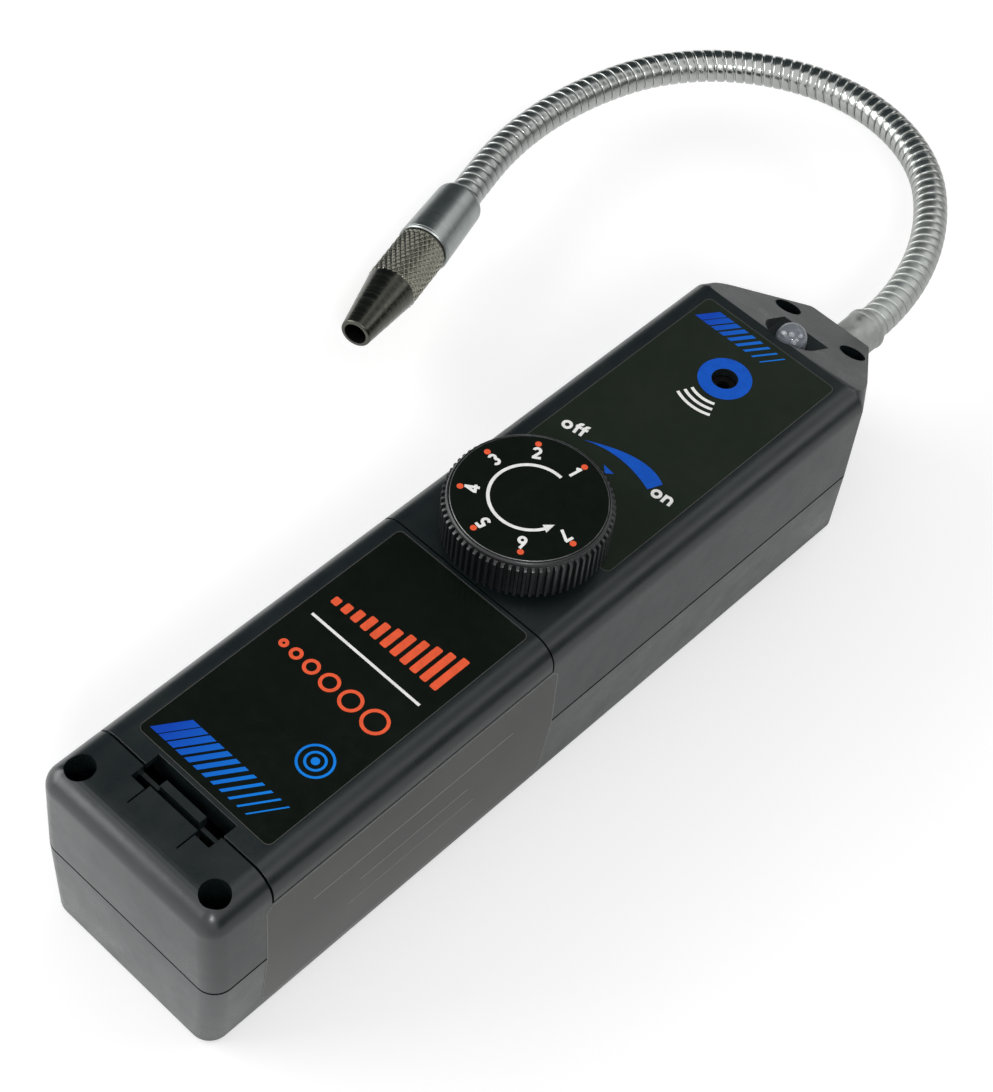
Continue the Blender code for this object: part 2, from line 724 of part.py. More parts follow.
def board_screw():
    """Short screw that holds the board up against its post."""
    head = BOARD_SCREW_HEAD / 2
    shank = BOARD_SCREW_DIAMETER / 2
    rise = BOARD_THICKNESS + 0.006
    return turned([(head * 0.7, -0.0014), (head, 0.0), (shank, 0.0),
                   (shank, rise), (shank * 0.4, rise + 0.0006)], SMALL_SIDES)


# Electronics

def circuit_board():
    """Board with its corners cut off towards the nose."""
    half = BOARD_WIDTH / 2
    narrow = BOARD_NOSE_WIDTH / 2
    shoulder = NOSE_START - 0.002
    outline = [Vector((-half, BOARD_NEAR)), Vector((half, BOARD_NEAR)), Vector((half, shoulder)),
               Vector((narrow, BOARD_FAR)), Vector((-narrow, BOARD_FAR)), Vector((-half, shoulder))]
    board = prism(outline, BOARD_TOP - BOARD_THICKNESS, BOARD_TOP)
    for x, y in board_posts():
        cut(board, post(x, y, BOARD_SCREW_DIAMETER / 2 + FIT_GAP, 0.0, UPPER_HEIGHT))
    for side in (-1, 1):
        lead = side * LAMP_LEAD_SPACING / 2
        cut(board, post(lead, LAMP_Y, 0.0007, 0.0, UPPER_HEIGHT, 8))
    return board


def buzzer():
    """Round sounder with a hole in its top, under the hole in the shell."""
    base = BOARD_TOP + FIT_GAP
    outer = BUZZER_DIAMETER / 2
    sound = outer * 0.25
    profile = [(outer - 0.0003, base), (outer, base + 0.0003),
               (outer, base + BUZZER_HEIGHT - 0.0005), (outer - 0.0005, base + BUZZER_HEIGHT),
               (sound, base + BUZZER_HEIGHT), (sound, base + BUZZER_HEIGHT - 0.002)]
    return moved(turned(profile), Matrix.Translation((0, BUZZER_Y, 0)))


def control_chip():
    """Dual-in-line chip on the board, with its legs bent down."""
    base = BOARD_TOP + 0.0008
    x = CHIP_FROM_CENTRE
    y = BOARD_NEAR + CHIP_FROM_BOARD_END + CHIP_LENGTH / 2
    chip = block((x - CHIP_WIDTH / 2, y - CHIP_LENGTH / 2, base),
                 (x + CHIP_WIDTH / 2, y + CHIP_LENGTH / 2, base + CHIP_HEIGHT))
    pitch = CHIP_LENGTH / CHIP_PINS
    for k in range(CHIP_PINS):
        at = y + (k - (CHIP_PINS - 1) / 2) * pitch
        for side in (-1, 1):
            leg = sorted((side * (CHIP_WIDTH / 2 - 0.0003), side * (CHIP_WIDTH / 2 + 0.0006)))
            join(chip, block((x + leg[0], at - 0.0004, BOARD_TOP + FIT_GAP),
                             (x + leg[1], at + 0.0004, base + CHIP_HEIGHT * 0.5)))
    return chip


def led_lamp():
    """Clear domed lamp on two leads that pass through the board."""
    base = BOARD_TOP + FIT_GAP
    radius = LAMP_DIAMETER / 2
    straight = base + LAMP_HEIGHT - radius
    profile = [(radius + LAMP_FLANGE, base), (radius + LAMP_FLANGE, base + 0.001),
               (radius, base + 0.001), (radius, straight)]
    for k in range(1, 5):
        a = math.pi / 2 * k / 5
        profile.append((radius * math.cos(a), straight + radius * math.sin(a)))
    lamp = turned(profile)
    for side in (-1, 1):
        lead = side * LAMP_LEAD_SPACING / 2
        low = BOARD_TOP - BOARD_THICKNESS - 0.0012
        join(lamp, post(lead, 0.0, 0.00035, low, base + 0.0005, 6))
    return moved(lamp, Matrix.Translation((0, LAMP_Y, 0)))


# Cells and contacts

def battery_cell():
    """Round dry cell lying along +Y with its flat end at y = 0."""
    radius = CELL_DIAMETER / 2
    nub = CELL_NUB_DIAMETER / 2
    top = CELL_LENGTH
    profile = [(radius - 0.0010, 0.0), (radius, 0.0008), (radius, top - 0.0012),
               (radius - 0.0018, top), (nub, top), (nub, top + CELL_NUB_HEIGHT)]
    return along_y(turned(profile))


def contact_plate(y):
    """Square contact with a rolled solder tag on top."""
    half = CONTACT_SIZE / 2
    plate = block((-half, y, -half), (half, y + CONTACT_THICKNESS, half))
    return join(plate, block((-0.0015, y, half - 0.0005), (0.0015, y + CONTACT_THICKNESS, half + 0.0030)))


def contact_spring():
    """Tapering compression spring, wound along +Y."""
    curve = bpy.data.curves.new("contact_spring", "CURVE")
    curve.dimensions = "3D"
    curve.bevel_depth = SPRING_WIRE / 2
    curve.bevel_resolution = 0
    curve.use_fill_caps = True
    points = int(SPRING_TURNS * 10) + 1
    line = curve.splines.new("POLY")
    line.points.add(points - 1)
    start = SHELL_WALL + CONTACT_THICKNESS + 2 * FIT_GAP + SPRING_WIRE / 2
    travel = SPRING_LENGTH - SPRING_WIRE
    for k in range(points):
        share = k / (points - 1)
        a = 2 * math.pi * SPRING_TURNS * share
        radius = (SPRING_DIAMETER - SPRING_WIRE) / 2 * (1 - 0.35 * share)
        line.points[k].co = (radius * math.cos(a), start + travel * share, radius * math.sin(a), 1)
    return bpy.data.objects.new("contact_spring", curve)


# Knob and control

def toothed_ring(radius, height):
    """A ring of ribs with a narrow groove between each two."""
    ring = []
    pitch = 2 * math.pi / KNOB_TEETH
    for k in range(KNOB_TEETH):
        for share, sink in ((0.0, KNOB_TOOTH_DEPTH), (0.30, 0.0), (0.70, 0.0)):
            a = pitch * (k + share)
            r = radius - sink
            ring.append(Vector((r * math.cos(a), r * math.sin(a), height)))
    return ring


def knob_body():
    """Ribbed knob, hollow underneath, with a hub and a bed for the dial."""
    low = KNOB_LIFT
    top = KNOB_LIFT + KNOB_HEIGHT
    radius = KNOB_DIAMETER / 2
    band = top - KNOB_RIM_BAND
    knob = loft([toothed_ring(radius, low), toothed_ring(radius, band + 0.0002)])
    rim = [(radius, band), (radius, top - KNOB_RIM_ROUND),
           (radius - KNOB_RIM_ROUND * 0.3, top - KNOB_RIM_ROUND * 0.3), (radius - KNOB_RIM_ROUND, top)]
    join(knob, turned(rim, KNOB_TEETH))
    sides = 2 * ROUND_SIDES
    cut(knob, turned([(DIAL_DIAMETER / 2 + FIT_GAP, top - DIAL_SINK), (DIAL_DIAMETER / 2 + FIT_GAP, top + 0.001)],
                     sides))
    roof = top - DIAL_SINK - KNOB_WALL * 0.7
    hollow = turned([(radius - KNOB_WALL, low - 0.001), (radius - KNOB_WALL, roof)], sides)
    hub_low = BUSHING_HEIGHT + FIT_GAP + 0.0006
    cut(hollow, turned([(KNOB_HUB_DIAMETER / 2, hub_low), (KNOB_HUB_DIAMETER / 2, top)], ROUND_SIDES))
    cut(knob, hollow)
    cut(knob, shaft_form(FIT_GAP, low - 0.001, roof))
    return knob


def shaft_form(clear, low, high):
    """The control's shaft, round with one flat above the bushing."""
    radius = SHAFT_DIAMETER / 2 + clear
    shaft = turned([(radius, low), (radius, high)])
    flat = SHAFT_DIAMETER / 2 - SHAFT_FLAT + clear
    flat_low = BUSHING_HEIGHT + FIT_GAP - clear
    cut(shaft, block((-0.01, flat, max(flat_low, low)), (0.01, 0.01, high + 0.001)))
    return shaft


def pot_shaft():
    """Shaft from inside the control's can up into the knob's hub."""
    top = KNOB_LIFT + KNOB_HEIGHT - DIAL_SINK - KNOB_WALL * 0.7 - FIT_GAP
    return shaft_form(0.0, -SHELL_WALL - 0.003, top)


def dial_disc():
    """Round dial plate let into the top of the knob."""
    low = KNOB_LIFT + KNOB_HEIGHT - DIAL_SINK + FIT_GAP
    radius = DIAL_DIAMETER / 2
    return turned([(radius, low), (radius, low + DIAL_THICKNESS - 0.0001),
                   (radius - 0.0001, low + DIAL_THICKNESS)], 2 * ROUND_SIDES)


def potentiometer():
    """Rotary control: switch can, track can, bushing and three tags."""
    top = -SHELL_WALL - FIT_GAP
    outer = CONTROL_DIAMETER / 2
    neck = BUSHING_DIAMETER / 2
    bore = SHAFT_DIAMETER / 2 + FIT_GAP
    pit = -SHELL_WALL - 0.003 - FIT_GAP
    middle = top - CONTROL_DEPTH * 0.55
    profile = [(outer - 0.0010, top - CONTROL_DEPTH), (outer - 0.0010, middle), (outer, middle),
               (outer, top), (neck, top), (neck, BUSHING_HEIGHT), (bore, BUSHING_HEIGHT), (bore, pit)]
    control = turned(profile)
    for k in (-1, 0, 1):
        x = k * 0.0050
        join(control, block((x - CONTROL_TAG / 2, -outer - 0.0045, middle + 0.0008),
                            (x + CONTROL_TAG / 2, -outer + 0.0030, middle + 0.0013)))
    return control


def pot_washer():
    low = FIT_GAP
    hole = BUSHING_DIAMETER / 2 + FIT_GAP
    return turned([(hole, low), (WASHER_DIAMETER / 2, low), (WASHER_DIAMETER / 2, low + WASHER_THICKNESS),
                   (hole, low + WASHER_THICKNESS)], closed=True)


def pot_nut():
    """Hexagon nut on the control's bushing."""
    low = 2 * FIT_GAP + WASHER_THICKNESS
    across = NUT_WIDTH / math.sqrt(3)
    nut = loft([circle(across, low, 6), circle(across, low + NUT_HEIGHT, 6)])
    hole = BUSHING_DIAMETER / 2 + FIT_GAP
    return cut(nut, turned([(hole, 0.0), (hole, 0.01)]))


# Probe

def neck_frames():
    """Centre line of the gooseneck as (distance, point, heading in the neck's plane).

    The neck starts at the front face and bends in a plane that is tilted about Y.
    """
    tilt = math.radians(NECK_TILT)
    runs = [(NECK_LEAD, 0.0)] + list(NECK_BENDS) + [(NECK_TAIL + SLEEVE_LENGTH + NOZZLE_GRIP + NOZZLE_CONE, 0.0)]
    frames = []
    ahead = 0.0
    aside = 0.0
    heading = 0.0
    walked = 0.0
    step = 0.0005
    for length, angle in runs:
        count = max(1, round(length / step))
        for _ in range(count):
            frames.append((walked, Vector((-aside * math.cos(tilt), BODY_LENGTH + ahead,
                                           -aside * math.sin(tilt))), heading))
            bend = math.radians(angle) / count
            ahead += length / count * math.cos(heading + bend / 2)
            aside += length / count * math.sin(heading + bend / 2)
            heading += bend
            walked += length / count
    return frames


NECK_RUN = NECK_LEAD + sum(length for length, _ in NECK_BENDS) + NECK_TAIL
NECK_LINE = neck_frames()


def neck_place(distance):
    """Matrix at a distance along the neck: +Z runs along it, +X lies level in its plane."""
    tilt = math.radians(NECK_TILT)
    if distance < 0:
        point = Vector((0, BODY_LENGTH + distance, 0))
        heading = 0.0
    else:
        share = distance / NECK_LINE[-1][0] * (len(NECK_LINE) - 1)
        nearest = min(range(max(0, int(share) - 60), min(len(NECK_LINE), int(share) + 60)),
                      key=lambda i: abs(NECK_LINE[i][0] - distance))
        walked, point, heading = NECK_LINE[nearest]
        rest = distance - walked
        point = point + Vector((-rest * math.sin(heading) * math.cos(tilt), rest * math.cos(heading),
                                -rest * math.sin(heading) * math.sin(tilt)))
    forward = Vector((-math.sin(heading) * math.cos(tilt), math.cos(heading),
                      -math.sin(heading) * math.sin(tilt)))
    up = Vector((-math.sin(tilt), 0, math.cos(tilt)))
    aside = up.cross(forward)
    return Matrix.Translation(point) @ Matrix((aside, up, forward)).transposed().to_4x4()


def gooseneck():
    """Ribbed tube with plain ends, where the ferrule and the sleeve hold it.

    Every turn of the wound strip stands out as a ring with a groove beside it.
    """
    radius = NECK_DIAMETER / 2
    start = -SHELL_WALL - FERRULE_TAIL
    end = NECK_RUN + NECK_TUCK
    ribbed = NECK_LEAD - NECK_PITCH / 2
    turns = round((NECK_RUN + NECK_PITCH - ribbed) / NECK_PITCH)
    rings = [ring_at(start, radius - NECK_GROOVE), ring_at(ribbed, radius - NECK_GROOVE)]
    for k in range(turns):
        for share, sink in ((0.5, 0.0), (1.0, NECK_GROOVE)):
            rings.append(ring_at(ribbed + NECK_PITCH * (k + share), radius - sink))
    rings.append(ring_at(end, radius - NECK_GROOVE))
    inner = 20
    for k in range(inner + 1):
        rings.append(ring_at(end - (end - start) * k / inner, NECK_BORE / 2))
    return loft(rings, closed=True)


def ring_at(distance, radius):
    place = neck_place(distance)
    return [place @ point for point in circle(radius, 0.0, NECK_SIDES)]


def neck_ferrule():
    """Rolled ferrule held between the shells, with the neck through it."""
    bore = BORE_GAP
    outer = FERRULE_RADIUS
    front = BODY_LENGTH - SHELL_WALL - FIT_GAP
    back = front - FERRULE_FLANGE_THICKNESS
    end = BODY_LENGTH + NECK_LEAD
    profile = [(bore, back - FERRULE_TAIL), (outer, back - FERRULE_TAIL), (outer, back),
               (outer + FERRULE_FLANGE, back), (outer + FERRULE_FLANGE, front), (outer, front),
               (outer, end - 0.0016), (outer + FERRULE_LIP, end - 0.0012),
               (outer + FERRULE_LIP, end - 0.0004), (outer, end), (bore, end)]
    return along_y(turned(profile, closed=True))


def tip_sleeve():
    """Plated sleeve over the neck's end, opening towards the nozzle."""
    rear = SLEEVE_REAR_DIAMETER / 2
    front = SLEEVE_FRONT_DIAMETER / 2
    neck = BORE_GAP
    wide = front - SLEEVE_WALL
    seat = NECK_TUCK + FIT_GAP
    profile = [(neck, 0.0), (neck + 0.0008, 0.0)]
    for k in range(1, 4):
        a = math.pi / 2 * k / 3
        profile.append((rear - SLEEVE_SHOULDER * (1 - math.sin(a)), SLEEVE_SHOULDER * (1 - math.cos(a))))
    profile += [(front, SLEEVE_LENGTH - 0.0004), (front - 0.0004, SLEEVE_LENGTH),
                (wide, SLEEVE_LENGTH), (wide, seat + 0.0012), (neck, seat + 0.0012)]
    return moved(turned(profile, closed=True), neck_place(NECK_RUN))


def sensor_socket():
    """Insulating plug in the sleeve, with the spigot that the nozzle screws on."""
    wide = SLEEVE_FRONT_DIAMETER / 2 - SLEEVE_WALL - FIT_GAP
    spigot = SPIGOT_DIAMETER / 2
    face = SLEEVE_LENGTH - 0.0004
    pit = SENSOR_DIAMETER / 2 + FIT_GAP
    deep = face + SPIGOT_LENGTH - 0.004
    profile = [(wide, face - SOCKET_LENGTH), (wide, face), (spigot, face),
               (spigot, face + SPIGOT_LENGTH - 0.0004), (spigot - 0.0004, face + SPIGOT_LENGTH),
               (pit, face + SPIGOT_LENGTH), (pit, deep)]
    return moved(turned(profile), neck_place(NECK_RUN))


def sensor_tip():
    """Sensing element plugged into the socket, with a slotted cap."""
    base = SLEEVE_LENGTH - 0.0004 + SPIGOT_LENGTH - 0.004 + FIT_GAP
    radius = SENSOR_DIAMETER / 2
    top = base + SENSOR_LENGTH
    profile = [(radius, base), (radius, base + 0.0045), (radius - 0.0005, base + 0.0049),
               (radius - 0.0005, top - 0.0008), (radius - 0.0013, top), (0.0006, top),
               (0.0006, top - 0.0012)]
    return moved(turned(profile, SMALL_SIDES), neck_place(NECK_RUN))


def nozzle():
    """Screw-on protector: a gripped cylinder that tapers to an open mouth."""
    low = SLEEVE_LENGTH + NOZZLE_GAP
    wide = NOZZLE_DIAMETER / 2
    mouth = NOZZLE_TIP_DIAMETER / 2
    shoulder = low + NOZZLE_GRIP
    end = shoulder + NOZZLE_CONE
    spigot = SPIGOT_DIAMETER / 2 + FIT_GAP
    chamber = SPIGOT_DIAMETER / 2 - 0.0006
    seat = SLEEVE_LENGTH + SPIGOT_LENGTH + FIT_GAP
    bore = NOZZLE_BORE / 2
    profile = [(spigot, low), (wide - NOZZLE_CHAMFER, low), (wide, low + NOZZLE_CHAMFER),
               (wide, shoulder - NOZZLE_CHAMFER), (wide - NOZZLE_CHAMFER, shoulder),
               (mouth + 0.0002, end - 0.0006), (mouth - 0.0003, end), (bore + 0.0002, end),
               (bore, end - 0.0003), (bore, end - NOZZLE_MOUTH_LENGTH),
               (chamber, shoulder), (chamber, seat), (spigot, seat)]
    return moved(turned(profile, closed=True), neck_place(NECK_RUN))


# Assembly

def build():
    for old in list(bpy.data.objects):
        bpy.data.objects.remove(old)

    plastic = finish("housing_plastic", (0.035, 0.042, 0.046), 0.42)
    dark = finish("knob_plastic", (0.020, 0.022, 0.024), 0.45)
    film = finish("label_film", (0.012, 0.016, 0.013), 0.38)
    grey_film = finish("side_label_film", (0.10, 0.10, 0.095), 0.45)
    chrome = finish("plated_steel", (0.72, 0.73, 0.72), 0.18, 1.0)
    satin = finish("satin_steel", (0.55, 0.56, 0.55), 0.32, 1.0)
    gunmetal = finish("gunmetal", (0.20, 0.20, 0.18), 0.30, 1.0)
    zinc = finish("zinc_steel", (0.50, 0.50, 0.48), 0.35, 1.0)
    clear = finish("clear_lens", (0.85, 0.88, 0.92), 0.08, 0.0, 0.8)
    laminate = finish("board_laminate", (0.02, 0.14, 0.05), 0.5)
    black = finish("component_black", (0.01, 0.01, 0.01), 0.5)
    wrap = finish("cell_wrap", (0.35, 0.26, 0.10), 0.35, 0.6)
    resin = finish("socket_resin", (0.62, 0.60, 0.54), 0.55)

    housing = datum("housing_datum", Matrix.Translation((0, -BODY_LENGTH / 2, LOWER_HEIGHT)))
    knob_axis = datum("knob_axis", Matrix.Translation((0, KNOB_FROM_NEAR_END, UPPER_HEIGHT)), housing)
    hinge_line = Matrix.Translation((0, COVER_FAR, UPPER_HEIGHT))
    cover_axis = datum("cover_axis", hinge_line, housing)
    nozzle_line = neck_place(NECK_RUN)
    nozzle_axis = datum("nozzle_axis", nozzle_line, housing)
    control = datum("control_datum", Matrix.Translation((0, KNOB_FROM_NEAR_END, UPPER_HEIGHT)), housing)

    name_part(lower_shell(), "lower_shell", plastic, housing)
    name_part(upper_shell(), "upper_shell", plastic, housing)

    cover = moved(battery_cover(), hinge_line.inverted())
    name_part(cover, "battery_cover", plastic, cover_axis)
    low = UPPER_HEIGHT + LABEL_UNDER
    high = UPPER_HEIGHT + LABEL_PROUD
    name_part(moved(cover_label_sheet(0.0, low, high), hinge_line.inverted()), "cover_label", film, cover_axis)
    hole = post(0.0, BUZZER_Y, SOUND_HOLE_DIAMETER / 2, 0.0, 0.05, ROUND_SIDES)
    washer_room = post(0.0, KNOB_FROM_NEAR_END, WASHER_DIAMETER / 2 + FIT_GAP, 0.0, 0.05, ROUND_SIDES)
    name_part(cut(nose_label_sheet(0.0, low, high), hole, washer_room), "nose_label", film, housing)
    name_part(side_sheet(0.0, LABEL_UNDER, LABEL_PROUD), "side_label", grey_film, housing)

    corners = near_screws() + nose_screws()
    words = ("near_left", "near_right", "nose_left", "nose_right")
    for (x, y), word in zip(corners, words):
        screw = name_part(housing_screw(), "housing_screw_" + word, zinc, housing)
        screw.location = (x, y, SCREW_SEAT + FIT_GAP)
    for (x, y), word in zip(board_posts(), ("rear", "front")):
        screw = name_part(board_screw(), "board_screw_" + word, zinc, housing)
        screw.location = (x, y, BOARD_TOP - BOARD_THICKNESS - FIT_GAP)

    name_part(circuit_board(), "circuit_board", laminate, housing)
    name_part(control_chip(), "control_chip", black, housing)
    name_part(buzzer(), "buzzer", black, housing)
    name_part(led_lamp(), "led_lamp", clear, housing)

    for k, word in enumerate(("near", "far")):
        cell = name_part(battery_cell(), "cell_" + word, wrap, housing)
        cell.location = (0, near_cell_y() + k * cell_step(), 0)
    name_part(contact_plate(SHELL_WALL + FIT_GAP), "contact_near", zinc, housing)
    name_part(contact_plate(far_contact_y()), "contact_far", zinc, housing)
    spring = contact_spring()
    bpy.context.scene.collection.objects.link(spring)
    spring.data.materials.append(zinc)
    spring.parent = housing

    name_part(knob_body(), "sensitivity_knob", dark, knob_axis)
    name_part(dial_disc(), "dial_disc", film, knob_axis)
    name_part(pot_shaft(), "pot_shaft", satin, knob_axis)
    name_part(potentiometer(), "potentiometer", zinc, control)
    name_part(pot_washer(), "pot_washer", zinc, control)
    name_part(pot_nut(), "pot_nut", zinc, control)

    name_part(neck_ferrule(), "neck_ferrule", satin, housing)
    name_part(gooseneck(), "gooseneck", chrome, housing, 45.0)
    name_part(tip_sleeve(), "tip_sleeve", satin, housing)
    name_part(sensor_socket(), "sensor_socket", resin, housing)
    name_part(sensor_tip(), "sensor_tip", satin, housing)
    name_part(moved(nozzle(), nozzle_line.inverted()), "nozzle", gunmetal, nozzle_axis)


build()
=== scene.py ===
"""Looks of the refrigerant leak detector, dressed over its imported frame.

Metres, +Z up. Shapes of the housing are written in its own frame, with y from the
near end and z from the seam between the shells, and are carried to their place by
the matrix HOUSING. Sizes come from the frame's boxes where a box shows them.
"""

import math

import bmesh
import bpy
from mathutils import Matrix, Vector, geometry, noise


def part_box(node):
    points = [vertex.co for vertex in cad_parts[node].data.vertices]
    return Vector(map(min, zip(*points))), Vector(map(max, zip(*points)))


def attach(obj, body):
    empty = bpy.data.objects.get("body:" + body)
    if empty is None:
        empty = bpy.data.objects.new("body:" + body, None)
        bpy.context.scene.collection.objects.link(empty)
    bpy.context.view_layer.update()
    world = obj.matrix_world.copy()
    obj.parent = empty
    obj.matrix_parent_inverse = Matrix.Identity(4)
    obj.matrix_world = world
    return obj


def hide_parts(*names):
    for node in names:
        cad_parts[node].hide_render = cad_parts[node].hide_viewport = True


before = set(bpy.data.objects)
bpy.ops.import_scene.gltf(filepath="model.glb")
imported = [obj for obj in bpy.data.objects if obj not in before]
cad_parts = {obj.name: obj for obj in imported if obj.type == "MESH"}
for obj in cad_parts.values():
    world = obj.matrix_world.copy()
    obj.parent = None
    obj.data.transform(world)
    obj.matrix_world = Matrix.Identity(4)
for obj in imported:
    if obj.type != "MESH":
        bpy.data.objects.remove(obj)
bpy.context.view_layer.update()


# Sizes read from the frame

def low(node):
    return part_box(node)[0]


def high(node):
    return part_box(node)[1]


NEAR_END = low("lower_shell").y
SEAM = high("lower_shell").z


def lengthways(node):
    """Where a node starts and ends, from the near end."""
    return low(node).y - NEAR_END, high(node).y - NEAR_END


def upwards(node):
    """A node's lowest and highest place over the seam."""
    return low(node).z - SEAM, high(node).z - SEAM


def middle_of(node):
    return (low(node).y + high(node).y) / 2 - NEAR_END


BODY_LENGTH = lengthways("lower_shell")[1]
HALF_WIDTH = high("lower_shell").x
SEAM_GAP, UPPER_HEIGHT = upwards("upper_shell")
LOWER_HEIGHT = -upwards("lower_shell")[0]
COVER_NEAR = lengthways("battery_cover")[0]
COVER_LOW = upwards("battery_cover")[0]
KNOB_Y, BUZZER_Y, LAMP_Y = (middle_of(node) for node in ("dial_disc", "buzzer", "led_lamp"))
KNOB_LOW, KNOB_TOP = upwards("sensitivity_knob")
KNOB_RADIUS = high("sensitivity_knob").x
DIAL_RADIUS = high("dial_disc").x
DIAL_TOP, LABEL_TOP, LAMP_TOP, BOARD_TOP = (
    upwards(node)[1] for node in ("dial_disc", "cover_label", "led_lamp", "circuit_board"))
LABEL_HALF = high("cover_label").x
COVER_LABEL_NEAR, COVER_LABEL_FAR = lengthways("cover_label")
NOSE_LABEL_NEAR, NOSE_LABEL_FAR = lengthways("nose_label")
SIDE_LABEL_NEAR, SIDE_LABEL_FAR = lengthways("side_label")
SIDE_LABEL_LOW, SIDE_LABEL_HIGH = upwards("side_label")
HOUSING = Matrix.Translation((0, NEAR_END, SEAM))
SEAM_SHOWN = SEAM_GAP + 0.00025

# Housing sizes that no box shows
SHELL_WALL = 0.0022
UPPER_LEAN = 0.0008
LOWER_LEAN = 0.0019
CORNER_RADIUS = 0.0050
TOP_FILLET = 0.0060
BOTTOM_FILLET = 0.0014
LEAST_ROUND = 0.0006
NOSE_LENGTH = 0.0296
FRONT_HALF = 0.0095
NOSE_LIP = 0.0111
NOSE_CORNER_RADIUS = 0.0025
FRONT_CORNER_RADIUS = 0.0016
BLOCK_LENGTH = 0.0170
COVER_FAR = 0.1028
COVER_WALL = 0.0020
RIB = 0.0018
NOTCH_HALF = 0.0121
NOTCH_DEPTH = 0.0036
TONGUE_HALF = 0.0074
TONGUE_LENGTH = 0.0085
TONGUE_SLIT = 0.0004
TONGUE_EAR = 0.0036
TONGUE_SET_BACK = 0.0024
LOOP_DEPTH = 0.0072
LOOP_WALL = 0.0010
CATCH_HALF = 0.0062
CATCH_LENGTH = 0.0020
CATCH_REACH = 0.0012
CATCH_HEIGHT = 0.0032
CATCH_LEAD = 0.0008
CATCH_DROP = 0.0002
LEDGE_DROP = 0.0024
LEDGE_THICKNESS = 0.0010
HOOK_WIDTH = 0.0080
HOOK_X = 0.0150
HOOK_REACH = 0.0026
HOOK_THICKNESS = 0.0018
HOOK_SLOT_DEPTH = 0.0062
NEAR_SCREW = (0.0209, 0.0071)
NOSE_SCREW = (0.0106, 0.2320)
WELL_RADIUS = 0.0035
WELL_WALL = 0.0014
WELL_FLOOR = 0.0030
PILOT_RADIUS = 0.00175
POCKET_HALF = 0.0072
POCKET_FLOOR = 0.0210
POCKET_WALL = 0.0014
LAMP_RADIUS = 0.0040
SOUND_HOLE = 0.0032
BUSHING_HOLE = 0.0042
GLAND_RADIUS = 0.00585
LABEL_CORNER = 0.0024
TOP_LABEL_CORNER = 0.0016
LABEL_BED = 0.0006
BOSS_WALL = 0.0026
CRADLE = 0.0016
CRADLE_SHARES = (0.14, 0.80)
FIT = 0.0003
BED_GAP = 0.00006
FILM_EDGE = 0.00015
INK = 0.00003
EDGE = 0.00022
EDGE_ANGLE = 28.0

NOSE_START = BODY_LENGTH - NOSE_LENGTH
SLOPE = (UPPER_HEIGHT - NOSE_LIP) / NOSE_LENGTH
SKIN = UPPER_HEIGHT - SHELL_WALL
CELL_CLEAR = 0.0134

# Probe sizes
NECK_RADIUS = 0.00464
NECK_GROOVE = 0.0005
NECK_PITCH = 0.0029
NECK_TILT = 4.0
NECK_LEAD = 0.0150
NECK_BENDS = ((0.0580, 41.5), (0.0580, 64.5), (0.0580, 56.1), (0.0580, 34.4))
NECK_TAIL = 0.0140
NECK_TUCK = 0.0070
NECK_START = -0.0072
NECK_STEP = 0.0002
FERRULE_RADIUS = 0.00555
FERRULE_LIP = 0.00025
FERRULE_FLANGE = 0.0019
FERRULE_FLANGE_THICKNESS = 0.0014
FERRULE_TAIL = 0.0050
SLEEVE_LENGTH = 0.0225
SLEEVE_REAR = 0.0068
SLEEVE_FRONT = 0.0075
SLEEVE_SHOULDER = 0.0024
SLEEVE_WALL = 0.0010
SPIGOT_RADIUS = 0.0054
SPIGOT_LENGTH = 0.0080
SOCKET_LENGTH = 0.0120
SENSOR_RADIUS = 0.0026
NOZZLE_RADIUS = 0.00715
NOZZLE_GRIP = 0.0176
NOZZLE_CONE = 0.0190
NOZZLE_MOUTH = 0.0042
NOZZLE_BORE = 0.0030
NOZZLE_MOUTH_LENGTH = 0.0080
NOZZLE_GAP = 0.0005
NECK_RUN = NECK_LEAD + sum(length for length, _ in NECK_BENDS) + NECK_TAIL


# Node tools for materials

class Nodes:
    """A node tree with short ways to add to it."""

    def __init__(self, tree):
        self.tree = tree

    def feed(self, socket, value):
        """Set a socket to a number, or link another socket to it."""
        if isinstance(value, bpy.types.NodeSocket):
            self.tree.links.new(value, socket)
        else:
            socket.default_value = value

    def node(self, kind, values=None, **settings):
        made = self.tree.nodes.new(kind)
        for setting, value in settings.items():
            setattr(made, setting, value)
        for socket, value in (values or {}).items():
            self.feed(made.inputs[socket], value)
        return made

    def math(self, operation, first, second):
        return self.node("ShaderNodeMath", {0: first, 1: second}, operation=operation).outputs["Value"]

    def measure(self, operation, first, second=(0.0, 0.0, 0.0)):
        """A number from one or two vectors, such as their distance."""
        return self.node("ShaderNodeVectorMath", {0: first, 1: second}, operation=operation).outputs["Value"]

    def between(self, value, start, end, low_value=0.0, high_value=1.0, **settings):
        """Map a value from one range to another, clamped."""
        numbers = {"Value": value, "From Min": start, "From Max": end, "To Min": low_value, "To Max": high_value}
        return self.node("ShaderNodeMapRange", numbers, clamp=True, **settings).outputs["Result"]

    def blend(self, factor, colour, other):
        """Blend two colours, either of which may come from another node."""
        parts = {"Factor": factor}
        for side, part in (("A", colour), ("B", other)):
            parts[side] = part if isinstance(part, bpy.types.NodeSocket) else (*part, 1.0)
        return self.node("ShaderNodeMix", parts, data_type="RGBA").outputs["Result"]


